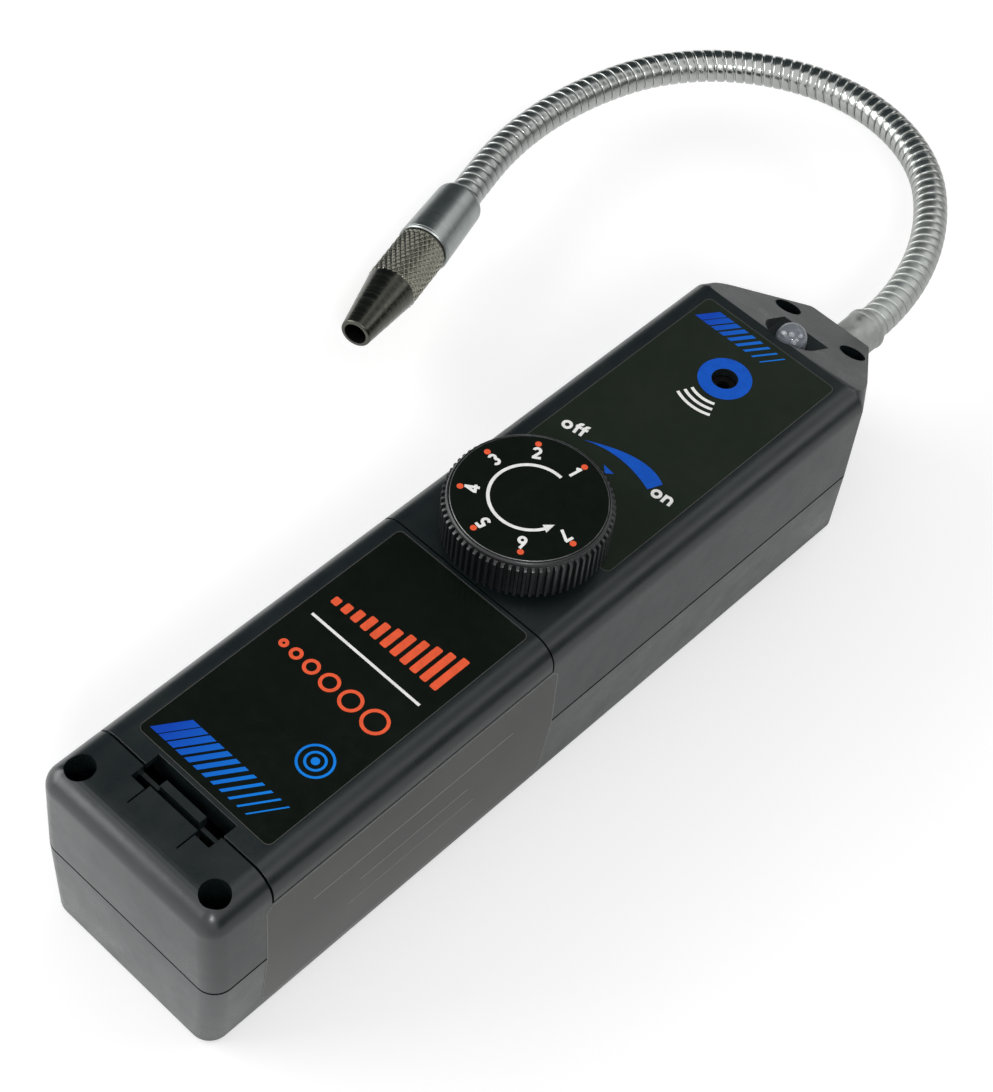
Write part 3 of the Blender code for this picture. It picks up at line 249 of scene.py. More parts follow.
class Look(Nodes):
    """A Principled material with short ways to add detail to it."""

    def __init__(self, name, colour, roughness, **values):
        self.material = bpy.data.materials.new(name)
        self.material.use_nodes = True
        super().__init__(self.material.node_tree)
        self.shader = self.tree.nodes["Principled BSDF"]
        self.give(Base_Color=(*colour, 1.0), Roughness=roughness, **values)
        self.place = self.node("ShaderNodeTexCoord").outputs["Object"]
        self.relief = None

    def give(self, **values):
        """Set or link sockets of the shader."""
        for socket, value in values.items():
            self.feed(self.shader.inputs[socket.replace("_", " ")], value)

    def axis(self, letter):
        return self.node("ShaderNodeSeparateXYZ", {"Vector": self.place}).outputs[letter]

    def noise(self, scale, detail=3.0, rough=0.55):
        values = {"Scale": scale, "Detail": detail, "Roughness": rough, "Vector": self.place}
        return self.node("ShaderNodeTexNoise", values).outputs["Fac"]

    def tint(self, factor, colour, other):
        """Blend the base colour between two colours."""
        self.give(Base_Color=self.blend(factor, colour, other))

    def roughen(self, factor):
        self.give(Roughness=factor)

    def bump(self, height, strength, distance):
        """Bump the surface, on top of the bump before."""
        values = {"Height": height, "Strength": strength, "Distance": distance}
        if self.relief:
            values["Normal"] = self.relief
        self.relief = self.node("ShaderNodeBump", values).outputs["Normal"]
        self.give(Normal=self.relief)


def moulded_plastic(name, colour, lighter, grain=0.22, shine=0.5):
    """Dark plastic with spark-eroded grain, faint flow marks and handling sheen."""
    look = Look(name, colour, 0.40, Specular_IOR_Level=shine)
    look.tint(look.between(look.noise(26.0, 4.0, 0.6), 0.35, 0.75), colour, lighter)
    look.roughen(look.between(look.noise(95.0, 5.0, 0.65), 0.30, 0.75, 0.25, 0.38))
    look.bump(look.noise(210.0, 2.0), 0.16, 0.00025)
    look.bump(look.noise(5200.0, 2.0, 0.5), grain, 0.00004)
    return look.material


def label_film(name, colour, lighter):
    """Printed film: near-black ground, smooth top coat with a slight orange peel."""
    look = Look(name, colour, 0.20, Specular_IOR_Level=0.25)
    look.tint(look.between(look.noise(60.0), 0.3, 0.8), colour, lighter)
    look.roughen(look.between(look.noise(340.0), 0.3, 0.7, 0.15, 0.26))
    look.bump(look.noise(900.0, 2.0), 0.10, 0.00006)
    return look.material


def side_film():
    """Matte grey film on the side."""
    look = Look("side_film", (0.044, 0.047, 0.042), 0.40, Specular_IOR_Level=0.5)
    look.tint(look.between(look.noise(48.0, 4.0), 0.3, 0.8), (0.038, 0.041, 0.037), (0.056, 0.060, 0.053))
    look.bump(look.noise(1400.0, 2.0), 0.10, 0.00005)
    return look.material


def ink(name, colour, roughness=0.42):
    """Screen-printed ink with a slightly uneven body."""
    look = Look(name, colour, roughness, Specular_IOR_Level=0.2)
    look.tint(look.between(look.noise(700.0), 0.35, 0.65), [part * 0.86 for part in colour], colour)
    look.bump(look.noise(2600.0, 2.0), 0.08, 0.00003)
    return look.material


def blended_ink(name, deep, bright, start, end):
    """Ink that blends from a deep to a bright tone across the tool."""
    look = Look(name, deep, 0.36, Specular_IOR_Level=0.2)
    look.tint(look.between(look.axis("X"), start, end), deep, bright)
    look.bump(look.noise(2600.0, 2.0), 0.08, 0.00003)
    return look.material


def plated(name, colour, roughness, ripple=0.0):
    """Plated metal with fine wear; ripple turns on the waves of a rolled sheet."""
    look = Look(name, colour, roughness, Metallic=1.0)
    look.tint(look.between(look.noise(160.0, 4.0, 0.6), 0.3, 0.8), [part * 0.92 for part in colour], colour)
    look.roughen(look.between(look.noise(420.0), 0.3, 0.75, roughness * 0.7, roughness * 1.5))
    if ripple:
        look.bump(look.noise(520.0, 2.0), ripple, 0.00016)
        look.bump(look.noise(2600.0), ripple, 0.00003)
    return look.material


def wound_plating():
    """Plating of the wound strip, bright along the bend and dulled towards both ends: its colour is a painted
    highlight, lighter near the start of the bend, and a painted shade, darker towards the tip; its roughness rises
    towards both ends.
    """
    look = Look("plated_strip", (0.42, 0.44, 0.425), 0.22, Metallic=1.0)
    from_root, from_tip = (
        look.between(look.measure("DISTANCE", look.place, HOUSING @ neck_place(along).translation), 0.010, reach)
        for along, reach in ((NECK_LEAD, 0.085), (NECK_RUN, 0.095)))
    # painted highlight: lighter colour near the start of the bend, fading along it
    metal = look.blend(from_root, (0.55, 0.57, 0.545), (0.45, 0.465, 0.45))
    # painted shade: darker colour towards the tip
    look.tint(from_tip, (0.36, 0.375, 0.365), metal)
    worn = look.between(look.noise(420.0), 0.3, 0.75, 0.14, 0.24)
    for share, most in ((from_root, 3.0), (from_tip, 2.0)):
        worn = look.math("MULTIPLY", worn, look.between(share, 0.0, 1.0, most, 1.0))
    look.roughen(worn)
    look.bump(look.noise(520.0, 2.0), 0.16, 0.00016)
    look.bump(look.noise(2600.0), 0.16, 0.00003)
    return look.material


def brushed(name, colour, roughness, along, marks, spacing=2600.0):
    """Turned metal: fine rings round an axis, given as a direction."""
    look = Look(name, colour, roughness, Metallic=1.0)
    spin = look.measure("DOT_PRODUCT", look.place, along)
    rings = look.node("ShaderNodeTexNoise", noise_dimensions="1D")
    for socket, value in (("W", spin), ("Scale", spacing), ("Detail", 3.0)):
        look.feed(rings.inputs[socket], value)
    rings = rings.outputs["Fac"]
    look.tint(look.between(look.noise(240.0), 0.3, 0.8), [part * 0.82 for part in colour], colour)
    look.roughen(look.between(rings, 0.3, 0.7, roughness * 0.8, roughness * 1.3))
    look.bump(look.noise(700.0, 2.0), marks * 0.7, 0.00008)
    look.bump(rings, marks, 0.00003)
    return look.material


def clear_epoxy():
    """Lamp body, nearly clear and slightly clouded."""
    look = Look("clear_epoxy", (0.86, 0.90, 0.95), 0.07, Transmission_Weight=0.94, IOR=1.40)
    look.bump(look.noise(800.0, 2.0), 0.05, 0.00004)
    return look.material


def board_laminate():
    """Green laminate with darker tracks under its lacquer."""
    ground, track = (0.012, 0.075, 0.030), (0.020, 0.115, 0.048)
    look = Look("board_laminate", ground, 0.36)
    traces = look.node("ShaderNodeTexBrick", {"Scale": 260.0, "Mortar Size": 0.06, "Vector": look.place})
    look.tint(traces.outputs["Fac"], ground, track)
    look.bump(look.noise(900.0, 2.0), 0.1, 0.00005)
    return look.material


def cell_wrap():
    """Cell sleeve in two plain bands of colour along its length."""
    look = Look("cell_wrap", (0.02, 0.02, 0.02), 0.28, Metallic=0.35)
    near = low("cell_near").y
    step = low("cell_far").y - near
    share = look.math("MODULO", look.math("SUBTRACT", look.axis("Y"), near - step), step)
    look.tint(look.between(share, step * 0.70, step * 0.705), (0.016, 0.017, 0.019), (0.42, 0.20, 0.07))
    return look.material


# Mesh tools

def linked(bm, name):
    """Turn a bmesh into an object of the scene."""
    mesh = bpy.data.meshes.new(name)
    bm.to_mesh(mesh)
    bm.free()
    made = bpy.data.objects.new(name, mesh)
    bpy.context.scene.collection.objects.link(made)
    return made


def object_from(bm, name="tool"):
    bmesh.ops.recalc_face_normals(bm, faces=bm.faces)
    return linked(bm, name)


def only_verts(parts):
    return [part for part in parts if isinstance(part, bmesh.types.BMVert)]


def loft(rings, closed=False):
    """Bridge a row of rings while they stand apart, then set them in their places."""
    bm = bmesh.new()
    away = geometry.normal(rings[0]) * 0.01
    loops = []
    for k, ring in enumerate(rings):
        corners = [bm.verts.new(point + away * k) for point in ring]
        loops.append([bm.edges.new((corners[i - 1], corners[i])) for i in range(len(corners))])
    for first, second in zip(loops, loops[1:]):
        bmesh.ops.bridge_loops(bm, edges=first + second)
    if closed:
        bmesh.ops.bridge_loops(bm, edges=loops[-1] + loops[0])
    for vert, point in zip(bm.verts, [point for ring in rings for point in ring]):
        vert.co = point
    if not closed:
        bmesh.ops.holes_fill(bm, edges=loops[0] + loops[-1], sides=0)
    return object_from(bm)


def circle(radius, height, sides):
    """A ring of points; its radius is a number, or a function of the angle."""
    ring = []
    for i in range(sides):
        a = 2 * math.pi * i / sides
        r = radius(a) if callable(radius) else radius
        ring.append(Vector((r * math.cos(a), r * math.sin(a), height)))
    return ring


def turned(profile, sides=64, closed=False):
    """Spin a profile of (radius, height) points about the Z axis."""
    bm = bmesh.new()
    line = [bm.verts.new((radius, 0.0, height)) for radius, height in profile]
    edges = [bm.edges.new(pair) for pair in zip(line, line[1:])]
    if closed:
        edges.append(bm.edges.new((line[-1], line[0])))
    bmesh.ops.spin(bm, geom=line + edges, cent=(0, 0, 0), axis=(0, 0, 1), angle=2 * math.pi, steps=sides,
                   use_merge=True)
    if not closed:
        bmesh.ops.holes_fill(bm, edges=[edge for edge in bm.edges if edge.is_boundary], sides=0)
    return object_from(bm)


def drawn_out(outline, step):
    """A flat outline extruded by a step."""
    bm = bmesh.new()
    face = bm.faces.new([bm.verts.new(point) for point in outline])
    grown = bmesh.ops.extrude_face_region(bm, geom=[face])["geom"]
    bmesh.ops.translate(bm, vec=step, verts=only_verts(grown))
    return object_from(bm)


def block(first, last):
    bm = bmesh.new()
    size = Vector(last) - Vector(first)
    middle = (Vector(last) + Vector(first)) / 2
    bmesh.ops.create_cube(bm, size=1.0, matrix=Matrix.Translation(middle) @ Matrix.Diagonal((*size, 1.0)))
    return object_from(bm)


def moved(thing, place):
    """Move a shape in its mesh, by a matrix or a step."""
    thing.data.transform(place if isinstance(place, Matrix) else Matrix.Translation(place))
    return thing


def post(x, y, radius, bottom, top, sides=48):
    return moved(turned([(radius, bottom), (radius, top)], sides), (x, y, 0))


def along_y(thing):
    return moved(thing, Matrix.Rotation(-math.pi / 2, 4, "X"))


def prism(outline, bottom, top):
    return drawn_out([(x, y, bottom) for x, y in outline], (0, 0, top - bottom))


def side_prism(outline, left, right):
    return drawn_out([(left, y, z) for y, z in outline], (right - left, 0, 0))


def combine(target, tool, operation):
    step = target.modifiers.new("Boolean", "BOOLEAN")
    step.operation = operation
    step.solver = "EXACT"
    step.object = tool
    view = bpy.context.evaluated_depsgraph_get()
    shaped = bpy.data.meshes.new_from_object(target.evaluated_get(view))
    target.modifiers.remove(step)
    rough = target.data
    target.data = shaped
    bpy.data.meshes.remove(rough)
    bpy.data.meshes.remove(tool.data)
    return target


def cut(target, *tools):
    for tool in tools:
        combine(target, tool, "DIFFERENCE")
    return target


def join(target, *tools):
    for tool in tools:
        combine(target, tool, "UNION")
    return target


def soften(thing):
    """Round the sharp edges a little, so that they catch the light."""
    bm = bmesh.new()
    bm.from_mesh(thing.data)
    bmesh.ops.remove_doubles(bm, verts=bm.verts, dist=2e-6)
    bmesh.ops.dissolve_degenerate(bm, edges=bm.edges, dist=2e-6)
    bmesh.ops.dissolve_limit(bm, angle_limit=math.radians(0.4), verts=bm.verts, edges=bm.edges)
    bm.to_mesh(thing.data)
    bm.free()
    bevel = thing.modifiers.new("Edges", "BEVEL")
    bevel.width = EDGE
    bevel.segments = 2
    bevel.limit_method = "ANGLE"
    bevel.angle_limit = math.radians(EDGE_ANGLE)
    bevel.harden_normals = True
    return thing


def present(thing, name, material, body, stands_for=(), place=HOUSING, sharp=30.0, part_of=None):
    """Name a finished piece, give it its finish and let it ride on its body.

    A piece with several finishes has them in a list, and part_of says which one a place on it takes.
    """
    finishes = material if isinstance(material, list) else [material]
    parts = [part_of(face.center) for face in thing.data.polygons] if part_of else []
    thing.data.transform(place)
    thing.name = name
    thing.data.name = name
    thing.data.materials.clear()
    for finish in finishes:
        thing.data.materials.append(finish)
    for face, part in zip(thing.data.polygons, parts):
        face.material_index = part
    thing.data.shade_smooth()
    thing.data.set_sharp_from_angle(angle=math.radians(sharp))
    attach(thing, body)
    if stands_for:
        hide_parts(*stands_for)
    return thing


# Outlines

def crossing(a, b, c, d):
    r = b - a
    s = d - c
    return a + r * ((c - a).cross(s) / r.cross(s))


def inset_outline(corners, insets):
    count = len(corners)
    edges = []
    for i, inset in enumerate(insets):
        start = Vector(corners[i])
        end = Vector(corners[(i + 1) % count])
        run = (end - start).normalized()
        inward = Vector((-run.y, run.x)) * inset
        edges.append((start + inward, end + inward))
    return [crossing(*edges[i - 1], *edges[i]) for i in range(count)]


def rounded(corners, radii, steps):
    outline = []
    count = len(corners)
    for i, corner in enumerate(corners):
        back = (Vector(corners[i - 1]) - corner).normalized()
        ahead = (Vector(corners[(i + 1) % count]) - corner).normalized()
        half = back.angle(ahead) / 2
        reach = radii[i] / math.tan(half)
        middle = Vector(corner) + (back + ahead).normalized() * (radii[i] / math.sin(half))
        start = Vector(corner) + back * reach - middle
        end = Vector(corner) + ahead * reach - middle
        sweep = start.angle_signed(end)
        for k in range(steps[i] + 1):
            a = -sweep * k / steps[i]
            outline.append(middle + Vector((start.x * math.cos(a) - start.y * math.sin(a),
                                            start.x * math.sin(a) + start.y * math.cos(a))))
    return outline


def quarter(steps):
    """Sine, and one less cosine, at even steps of a quarter turn."""
    return [(math.sin(a), 1 - math.cos(a)) for a in (math.pi / 2 * k / steps for k in range(steps + 1))]


def rectangle(x0, x1, y0, y1):
    return [Vector((x0, y0)), Vector((x1, y0)), Vector((x1, y1)), Vector((x0, y1))]


def arc(centre, radius, start, end, steps):
    """Points on an arc, its angles in degrees."""
    turns = [math.radians(start + (end - start) * k / steps) for k in range(steps + 1)]
    return [Vector((centre[0] + radius * math.cos(a), centre[1] + radius * math.sin(a))) for a in turns]


def curve_through(a, b, c, steps):
    """Smooth points from a over b to c."""
    a, b, c = Vector(a), Vector(b), Vector(c)
    pull = b * 2 - (a + c) / 2
    shares = [k / steps for k in range(steps + 1)]
    return [a * (1 - t) ** 2 + pull * (2 * t * (1 - t)) + c * t ** 2 for t in shares]


def housing_outline(lean, inset):
    """The housing's plan: near end, right side, right cheek, front, left cheek, left side."""
    corners = [(-HALF_WIDTH, 0.0), (HALF_WIDTH, 0.0), (HALF_WIDTH, NOSE_START), (FRONT_HALF, BODY_LENGTH),
               (-FRONT_HALF, BODY_LENGTH), (-HALF_WIDTH, NOSE_START)]
    moves = [inset, inset + lean, inset, inset, inset, inset + lean]
    radii = [CORNER_RADIUS, CORNER_RADIUS, NOSE_CORNER_RADIUS,
             FRONT_CORNER_RADIUS, FRONT_CORNER_RADIUS, NOSE_CORNER_RADIUS]
    radii = [max(radius - inset, LEAST_ROUND) for radius in radii]
    return rounded(inset_outline(corners, moves), radii, [10, 10, 4, 4, 4, 4])


def housing_half(height, lean, fillet, inset, foot, fillet_steps=10):
    """One half of the housing, from the seam to its closed side."""
    way = math.copysign(1.0, height)
    top = abs(height) - inset
    edge = max(fillet - inset, LEAST_ROUND)
    stations = [(foot, 0.0), (top - edge, 0.0)]
    stations += [(top - edge + edge * rise, edge * draw) for rise, draw in quarter(fillet_steps)[1:]]
    rings = []
    for level, draw in stations:
        outline = housing_outline(lean * max(level, 0.0) / abs(height), inset + draw)
        rings.append([Vector((p.x, p.y, way * level)) for p in outline])
    return loft(rings)


def above_slope(inset):
    near = NOSE_START - 0.02
    far = BODY_LENGTH + 0.01
    lid = UPPER_HEIGHT + 0.03
    drop = inset * math.hypot(1.0, SLOPE)
    edge = [(y, UPPER_HEIGHT - (y - NOSE_START) * SLOPE - drop) for y in (near, far)]
    return side_prism(edge + [(far, lid), (near, lid)], -0.05, 0.05)


def both_sides(point):
    return [(-point[0], point[1]), point]


def label_outline(x0, x1, y0, y1, margin, corner):
    """A rectangle with rounded corners, grown by a margin."""
    outline = rectangle(x0 - margin, x1 + margin, y0 - margin, y1 + margin)
    return rounded(outline, [corner + margin] * 4, [8] * 4)


def side_sheet(margin, inner, outer):
    """A film on the right side that bends at the seam as the two halves do."""
    outline = label_outline(SIDE_LABEL_NEAR, SIDE_LABEL_FAR, SIDE_LABEL_LOW, SIDE_LABEL_HIGH, margin, LABEL_CORNER)
    sheet = side_prism(outline, HALF_WIDTH - 0.006, HALF_WIDTH + 0.006)
    levels = (-LOWER_HEIGHT, 0.0, UPPER_HEIGHT)
    section = [side_wall(z, inner) for z in levels] + [side_wall(z, outer) for z in reversed(levels)]
    skin = loft([[Vector((p.x, y, p.y)) for p in section] for y in (0.0, BODY_LENGTH)])
    return combine(sheet, skin, "INTERSECT")


def side_wall(z, offset):
    """The right wall's x at a height, and that height."""
    lean, height = (UPPER_LEAN, UPPER_HEIGHT) if z > 0 else (LOWER_LEAN, LOWER_HEIGHT)
    return Vector((HALF_WIDTH - lean * abs(z) / height + offset, z))


def top_outline(near, far, margin):
    return label_outline(-LABEL_HALF, LABEL_HALF, near, far, margin, TOP_LABEL_CORNER)


def lamp_pocket(radius, bottom, top):
    bend = arc((0.0, LAMP_Y), radius, 180, 360, 24)
    far = NOSE_SCREW[1] - WELL_RADIUS - 0.0004
    return prism(bend + [Vector((radius, far)), Vector((-radius, far))], bottom, top)


# Housing

TALL = UPPER_HEIGHT + 0.01
DEEP = -LOWER_HEIGHT - 0.01
WIDE = HALF_WIDTH + 0.01


def upper_half(inset, foot, fillet_steps=10):
    return housing_half(UPPER_HEIGHT, UPPER_LEAN, TOP_FILLET, inset, foot, fillet_steps)


def gland():
    return along_y(turned([(GLAND_RADIUS, BODY_LENGTH - 0.02), (GLAND_RADIUS, BODY_LENGTH + 0.002)]))


def upper_skin():
    """Upper half with its latch, wells, lamp pocket and the bay's rails."""
    shell = cut(upper_half(0.0, SEAM_SHOWN), above_slope(0.0))
    cavity = cut(upper_half(SHELL_WALL, -0.001, 4), above_slope(SHELL_WALL),
                 block((-WIDE, BLOCK_LENGTH - LEDGE_THICKNESS, CELL_CLEAR), (WIDE, BLOCK_LENGTH, TALL)),
                 block((-WIDE, COVER_FAR, CELL_CLEAR), (WIDE, COVER_FAR + RIB, TALL)))
    wells = both_sides(NEAR_SCREW) + both_sides(NOSE_SCREW)
    for x, y in wells:
        cut(cavity, post(x, y, WELL_RADIUS + WELL_WALL, SEAM_GAP, TALL, 24))
    cut(cavity, lamp_pocket(POCKET_HALF + POCKET_WALL, POCKET_FLOOR - POCKET_WALL, TALL))
    cut(shell, cavity, block((-WIDE, BLOCK_LENGTH, COVER_LOW - FIT), (WIDE, COVER_FAR, TALL)))
    for x, y in wells:
        cut(shell, post(x, y, WELL_RADIUS, WELL_FLOOR, TALL), post(x, y, PILOT_RADIUS, -0.001, TALL, 24))
    cut(shell, lamp_pocket(POCKET_HALF, POCKET_FLOOR, TALL),
        post(0.0, LAMP_Y, LAMP_RADIUS + FIT, 0.0, TALL, 64),
        post(0.0, BUZZER_Y, SOUND_HOLE, SKIN - 0.001, TALL, 64),
        post(0.0, KNOB_Y, BUSHING_HOLE, SKIN - 0.001, TALL), gland())
    cut_latch(shell)
    reach = HOOK_WIDTH / 2 + FIT
    for middle in (-HOOK_X, HOOK_X):
        cut(shell, block((middle - reach, COVER_FAR - 0.001, UPPER_HEIGHT - HOOK_SLOT_DEPTH),
                         (middle + reach, COVER_FAR + RIB + 0.001, SKIN)))
    bed = top_outline(NOSE_LABEL_NEAR, NOSE_LABEL_FAR, BED_GAP)
    return cut(shell, prism(bed, UPPER_HEIGHT - LABEL_BED, TALL), side_sheet(BED_GAP, -LABEL_BED, 0.004))


def cut_latch(shell):
    """The flexing tongue: slits, ears, the ledge, and the sprung loop with its catch."""
    end = BLOCK_LENGTH + 0.001
    ledge = UPPER_HEIGHT - LEDGE_DROP
    tongue_end = BLOCK_LENGTH - TONGUE_SET_BACK
    cut(shell, block((-NOTCH_HALF, tongue_end, ledge), (NOTCH_HALF, end, TALL)))
    for side in (-1, 1):
        ear = sorted((side * TONGUE_HALF, side * NOTCH_HALF))
        slit = sorted((side * TONGUE_HALF, side * (TONGUE_HALF + TONGUE_SLIT)))
        cut(shell, block((ear[0], BLOCK_LENGTH - TONGUE_EAR, ledge), (ear[1], end, TALL)),
            block((slit[0], BLOCK_LENGTH - TONGUE_LENGTH, SKIN - 0.001), (slit[1], tongue_end, TALL)))
    loop_low = UPPER_HEIGHT - LOOP_DEPTH
    reach = CATCH_HALF + FIT
    cut(shell, block((-reach, BLOCK_LENGTH - LEDGE_THICKNESS - 0.0001, loop_low - FIT), (reach, end, TALL)))
    top = UPPER_HEIGHT - CATCH_DROP
    far = BLOCK_LENGTH + CATCH_REACH
    near = far - CATCH_LENGTH
    hook_low = top - CATCH_HEIGHT
    inside = UPPER_HEIGHT - SHELL_WALL / 2
    loop = [(tongue_end - LOOP_WALL, inside), (tongue_end - LOOP_WALL, loop_low), (near + LOOP_WALL, loop_low),
            (near + LOOP_WALL, hook_low), (far, hook_low + CATCH_LEAD), (far, top), (near, top),
            (near, loop_low + LOOP_WALL), (tongue_end, loop_low + LOOP_WALL), (tongue_end, inside)]
    join(shell, side_prism(loop, -CATCH_HALF, CATCH_HALF))


def lower_skin():
    """Lower half with the cradles of the cells, the stop behind them and the screw bosses."""
    shell = housing_half(-LOWER_HEIGHT, LOWER_LEAN, BOTTOM_FILLET, 0.0, 0.0, 5)
    cavity = housing_half(-LOWER_HEIGHT, LOWER_LEAN, BOTTOM_FILLET, SHELL_WALL, -0.001, 3)
    for x, y in both_sides(NEAR_SCREW) + both_sides(NOSE_SCREW):
        cut(cavity, post(x, y, PILOT_RADIUS + BOSS_WALL, DEEP, 0.0, 24))
    length = high("cell_near").y - low("cell_near").y
    for cell in ("cell_near", "cell_far"):
        for share in CRADLE_SHARES:
            y = low(cell).y - NEAR_END + length * share
            saddle = block((-WIDE, y, DEEP), (WIDE, y + CRADLE, -0.001))
            hollow = along_y(turned([(CELL_CLEAR, y - 0.001), (CELL_CLEAR, y + 0.003)]))
            cut(cavity, cut(saddle, hollow))
    stop = high("contact_far").y - NEAR_END + FIT
    cut(cavity, block((-WIDE, stop, DEEP), (WIDE, stop + RIB, -0.001)))
    return cut(shell, cavity, gland(), side_sheet(BED_GAP, -LABEL_BED, 0.004))


def cover_skin():
    """Battery cover with its hooks and its notch over the latch."""
    near = COVER_NEAR + 0.0001
    far = COVER_FAR - FIT - 0.0001
    lid = upper_half(0.0, SEAM_SHOWN)
    combine(lid, block((-WIDE, near, COVER_LOW), (WIDE, far, TALL)), "INTERSECT")
    notch_far = near + NOTCH_DEPTH
    cavity = cut(upper_half(COVER_WALL, -0.001, 4), block((-WIDE, far - COVER_WALL, 0.0), (WIDE, far, TALL)),
                 block((-NOTCH_HALF - RIB, notch_far, COVER_LOW), (NOTCH_HALF + RIB, notch_far + RIB, TALL)))
    cut(lid, cavity, block((-NOTCH_HALF, near - 0.001, COVER_LOW - 0.001), (NOTCH_HALF, notch_far, TALL)))
    hook_top = SKIN - FIT
    for middle in (-HOOK_X, HOOK_X):
        join(lid, block((middle - HOOK_WIDTH / 2, far - COVER_WALL / 2, hook_top - HOOK_THICKNESS),
                        (middle + HOOK_WIDTH / 2, far + HOOK_REACH, hook_top)))
    bed = top_outline(COVER_LABEL_NEAR, COVER_LABEL_FAR, BED_GAP)
    return cut(lid, prism(bed, UPPER_HEIGHT - LABEL_BED, TALL))


# Knob and dial

KNOB_TEETH = 70
TOOTH_STEPS = 16
TOOTH_DEPTH = 0.0009
TOOTH_END = 0.0018
TOOTH_RUN_OUT = 0.0006
KNOB_WALL = 0.0022
RIM_ROUND = 0.0008
DIAL_SINK = 0.0008
DIAL_EDGE = 0.00021
DIAL_BASE = KNOB_TOP - DIAL_SINK + FIT
DIAL_FACE = DIAL_TOP - 2 * INK


def tooth(share):
    """Depth of the ribbed skirt over one pitch, 0 on a rib and 1 in a groove."""
    reach = min(max((abs(share - 0.5) * 2 - 0.34) / 0.30, 0.0), 1.0)
    return reach * reach * (3 - 2 * reach)


def knob_ring(radius, height, depth=0.0):
    """One ring of the knob, ribbed to a depth."""
    return circle(lambda angle: radius - depth * tooth(angle * KNOB_TEETH / (2 * math.pi) % 1.0), height,
                  KNOB_TEETH * TOOTH_STEPS)


def knob_skin():
    """Knob whose ribs end below a smooth rim of their root's width."""
    bottom, top = KNOB_LOW, KNOB_TOP
    root = KNOB_RADIUS - TOOTH_DEPTH
    bed = top - DIAL_SINK
    bed_radius = DIAL_RADIUS + FIT / 2
    hollow = KNOB_RADIUS - KNOB_WALL
    rib_end = top - TOOTH_END
    rows = [(hollow, bed - KNOB_WALL * 0.7), (hollow, bottom + 0.0002), (hollow + 0.0002, bottom),
            (KNOB_RADIUS - 0.0005, bottom, TOOTH_DEPTH - 0.0004),
            (KNOB_RADIUS - 0.0002, bottom + 0.0001, TOOTH_DEPTH - 0.0001),
            (KNOB_RADIUS, bottom + 0.0004, TOOTH_DEPTH), (KNOB_RADIUS, rib_end, TOOTH_DEPTH),
            (KNOB_RADIUS - 0.0001, rib_end + 0.0001, TOOTH_DEPTH - 0.0001),
            (root + 0.0002, rib_end + TOOTH_RUN_OUT - 0.0001, 0.0002),
            (root, rib_end + TOOTH_RUN_OUT), (root, top - RIM_ROUND)]
    rows += [(root - RIM_ROUND * 0.8 * draw, top - RIM_ROUND * (1 - rise)) for rise, draw in quarter(6)[1:]]
    rows += [(bed_radius + 0.0001, top), (bed_radius, top - 0.0001), (bed_radius, bed)]
    return moved(loft([knob_ring(*row) for row in rows]), (0, KNOB_Y, 0))


def dial_plate():
    """Dial plate inside its cut edge, which carries a painted highlight."""
    inner = DIAL_RADIUS - DIAL_EDGE - 0.00001
    return moved(turned([(inner, DIAL_BASE), (inner, DIAL_FACE)], 160), (0, KNOB_Y, 0))


def dial_edge():
    """The plate's cut edge, a small chamfer whose pale metallic finish is a painted highlight."""
    inner = DIAL_RADIUS - DIAL_EDGE
    profile = [(inner, DIAL_BASE), (DIAL_RADIUS, DIAL_BASE), (DIAL_RADIUS, DIAL_FACE - 0.00008),
               (DIAL_RADIUS - 0.00008, DIAL_FACE), (inner, DIAL_FACE)]
    return moved(turned(profile, 160, closed=True), (0, KNOB_Y, 0))


# Printing

LABEL_FACE = LABEL_TOP - INK
LABEL_THICKNESS = 0.0004
SIDE_FILM = (-0.0003, 0.00007)
SIDE_PRINT = (0.00004, 0.0001)
NUT_CLEAR = 0.0063


def flat_print(outline, surface):
    """One printed shape, as thick as its ink."""
    return prism(outline, surface - INK * 0.5, surface + INK)


def round_outline(centre, radius):
    return arc(centre, radius, 0, 345, 23)


def annulus(centre, inner, outer, surface, sides=96):
    foot, top = surface - INK * 0.5, surface + INK
    section = [(inner, foot), (outer, foot), (outer, top), (inner, top)]
    return moved(turned(section, sides, closed=True), (*centre, 0))


def beside(points, width, closed=False):
    """The two lines that run half a width to the left and to the right of a line."""
    count = len(points)
    left, right = [], []
    for i, point in enumerate(points):
        back = points[i - 1 if closed else max(i - 1, 0)]
        ahead = points[(i + 1) % count if closed else min(i + 1, count - 1)]
        run = (ahead - back).normalized()
        side = Vector((-run.y, run.x)) * (width / 2)
        left.append(point + side)
        right.append(point - side)
    return left, right


def band_along(points, width, surface):
    """A printed stripe of even width along a row of points."""
    left, right = beside(points, width)
    return flat_print(right + list(reversed(left)), surface)


def band_between(inner, outer, bottom, top):
    """A closed band that fills the room between two lines, from one level to another."""
    rows = ((inner, bottom), (outer, bottom), (outer, top), (inner, top))
    return loft([[Vector((x, y, z)) for x, y in line] for line, z in rows], closed=True)


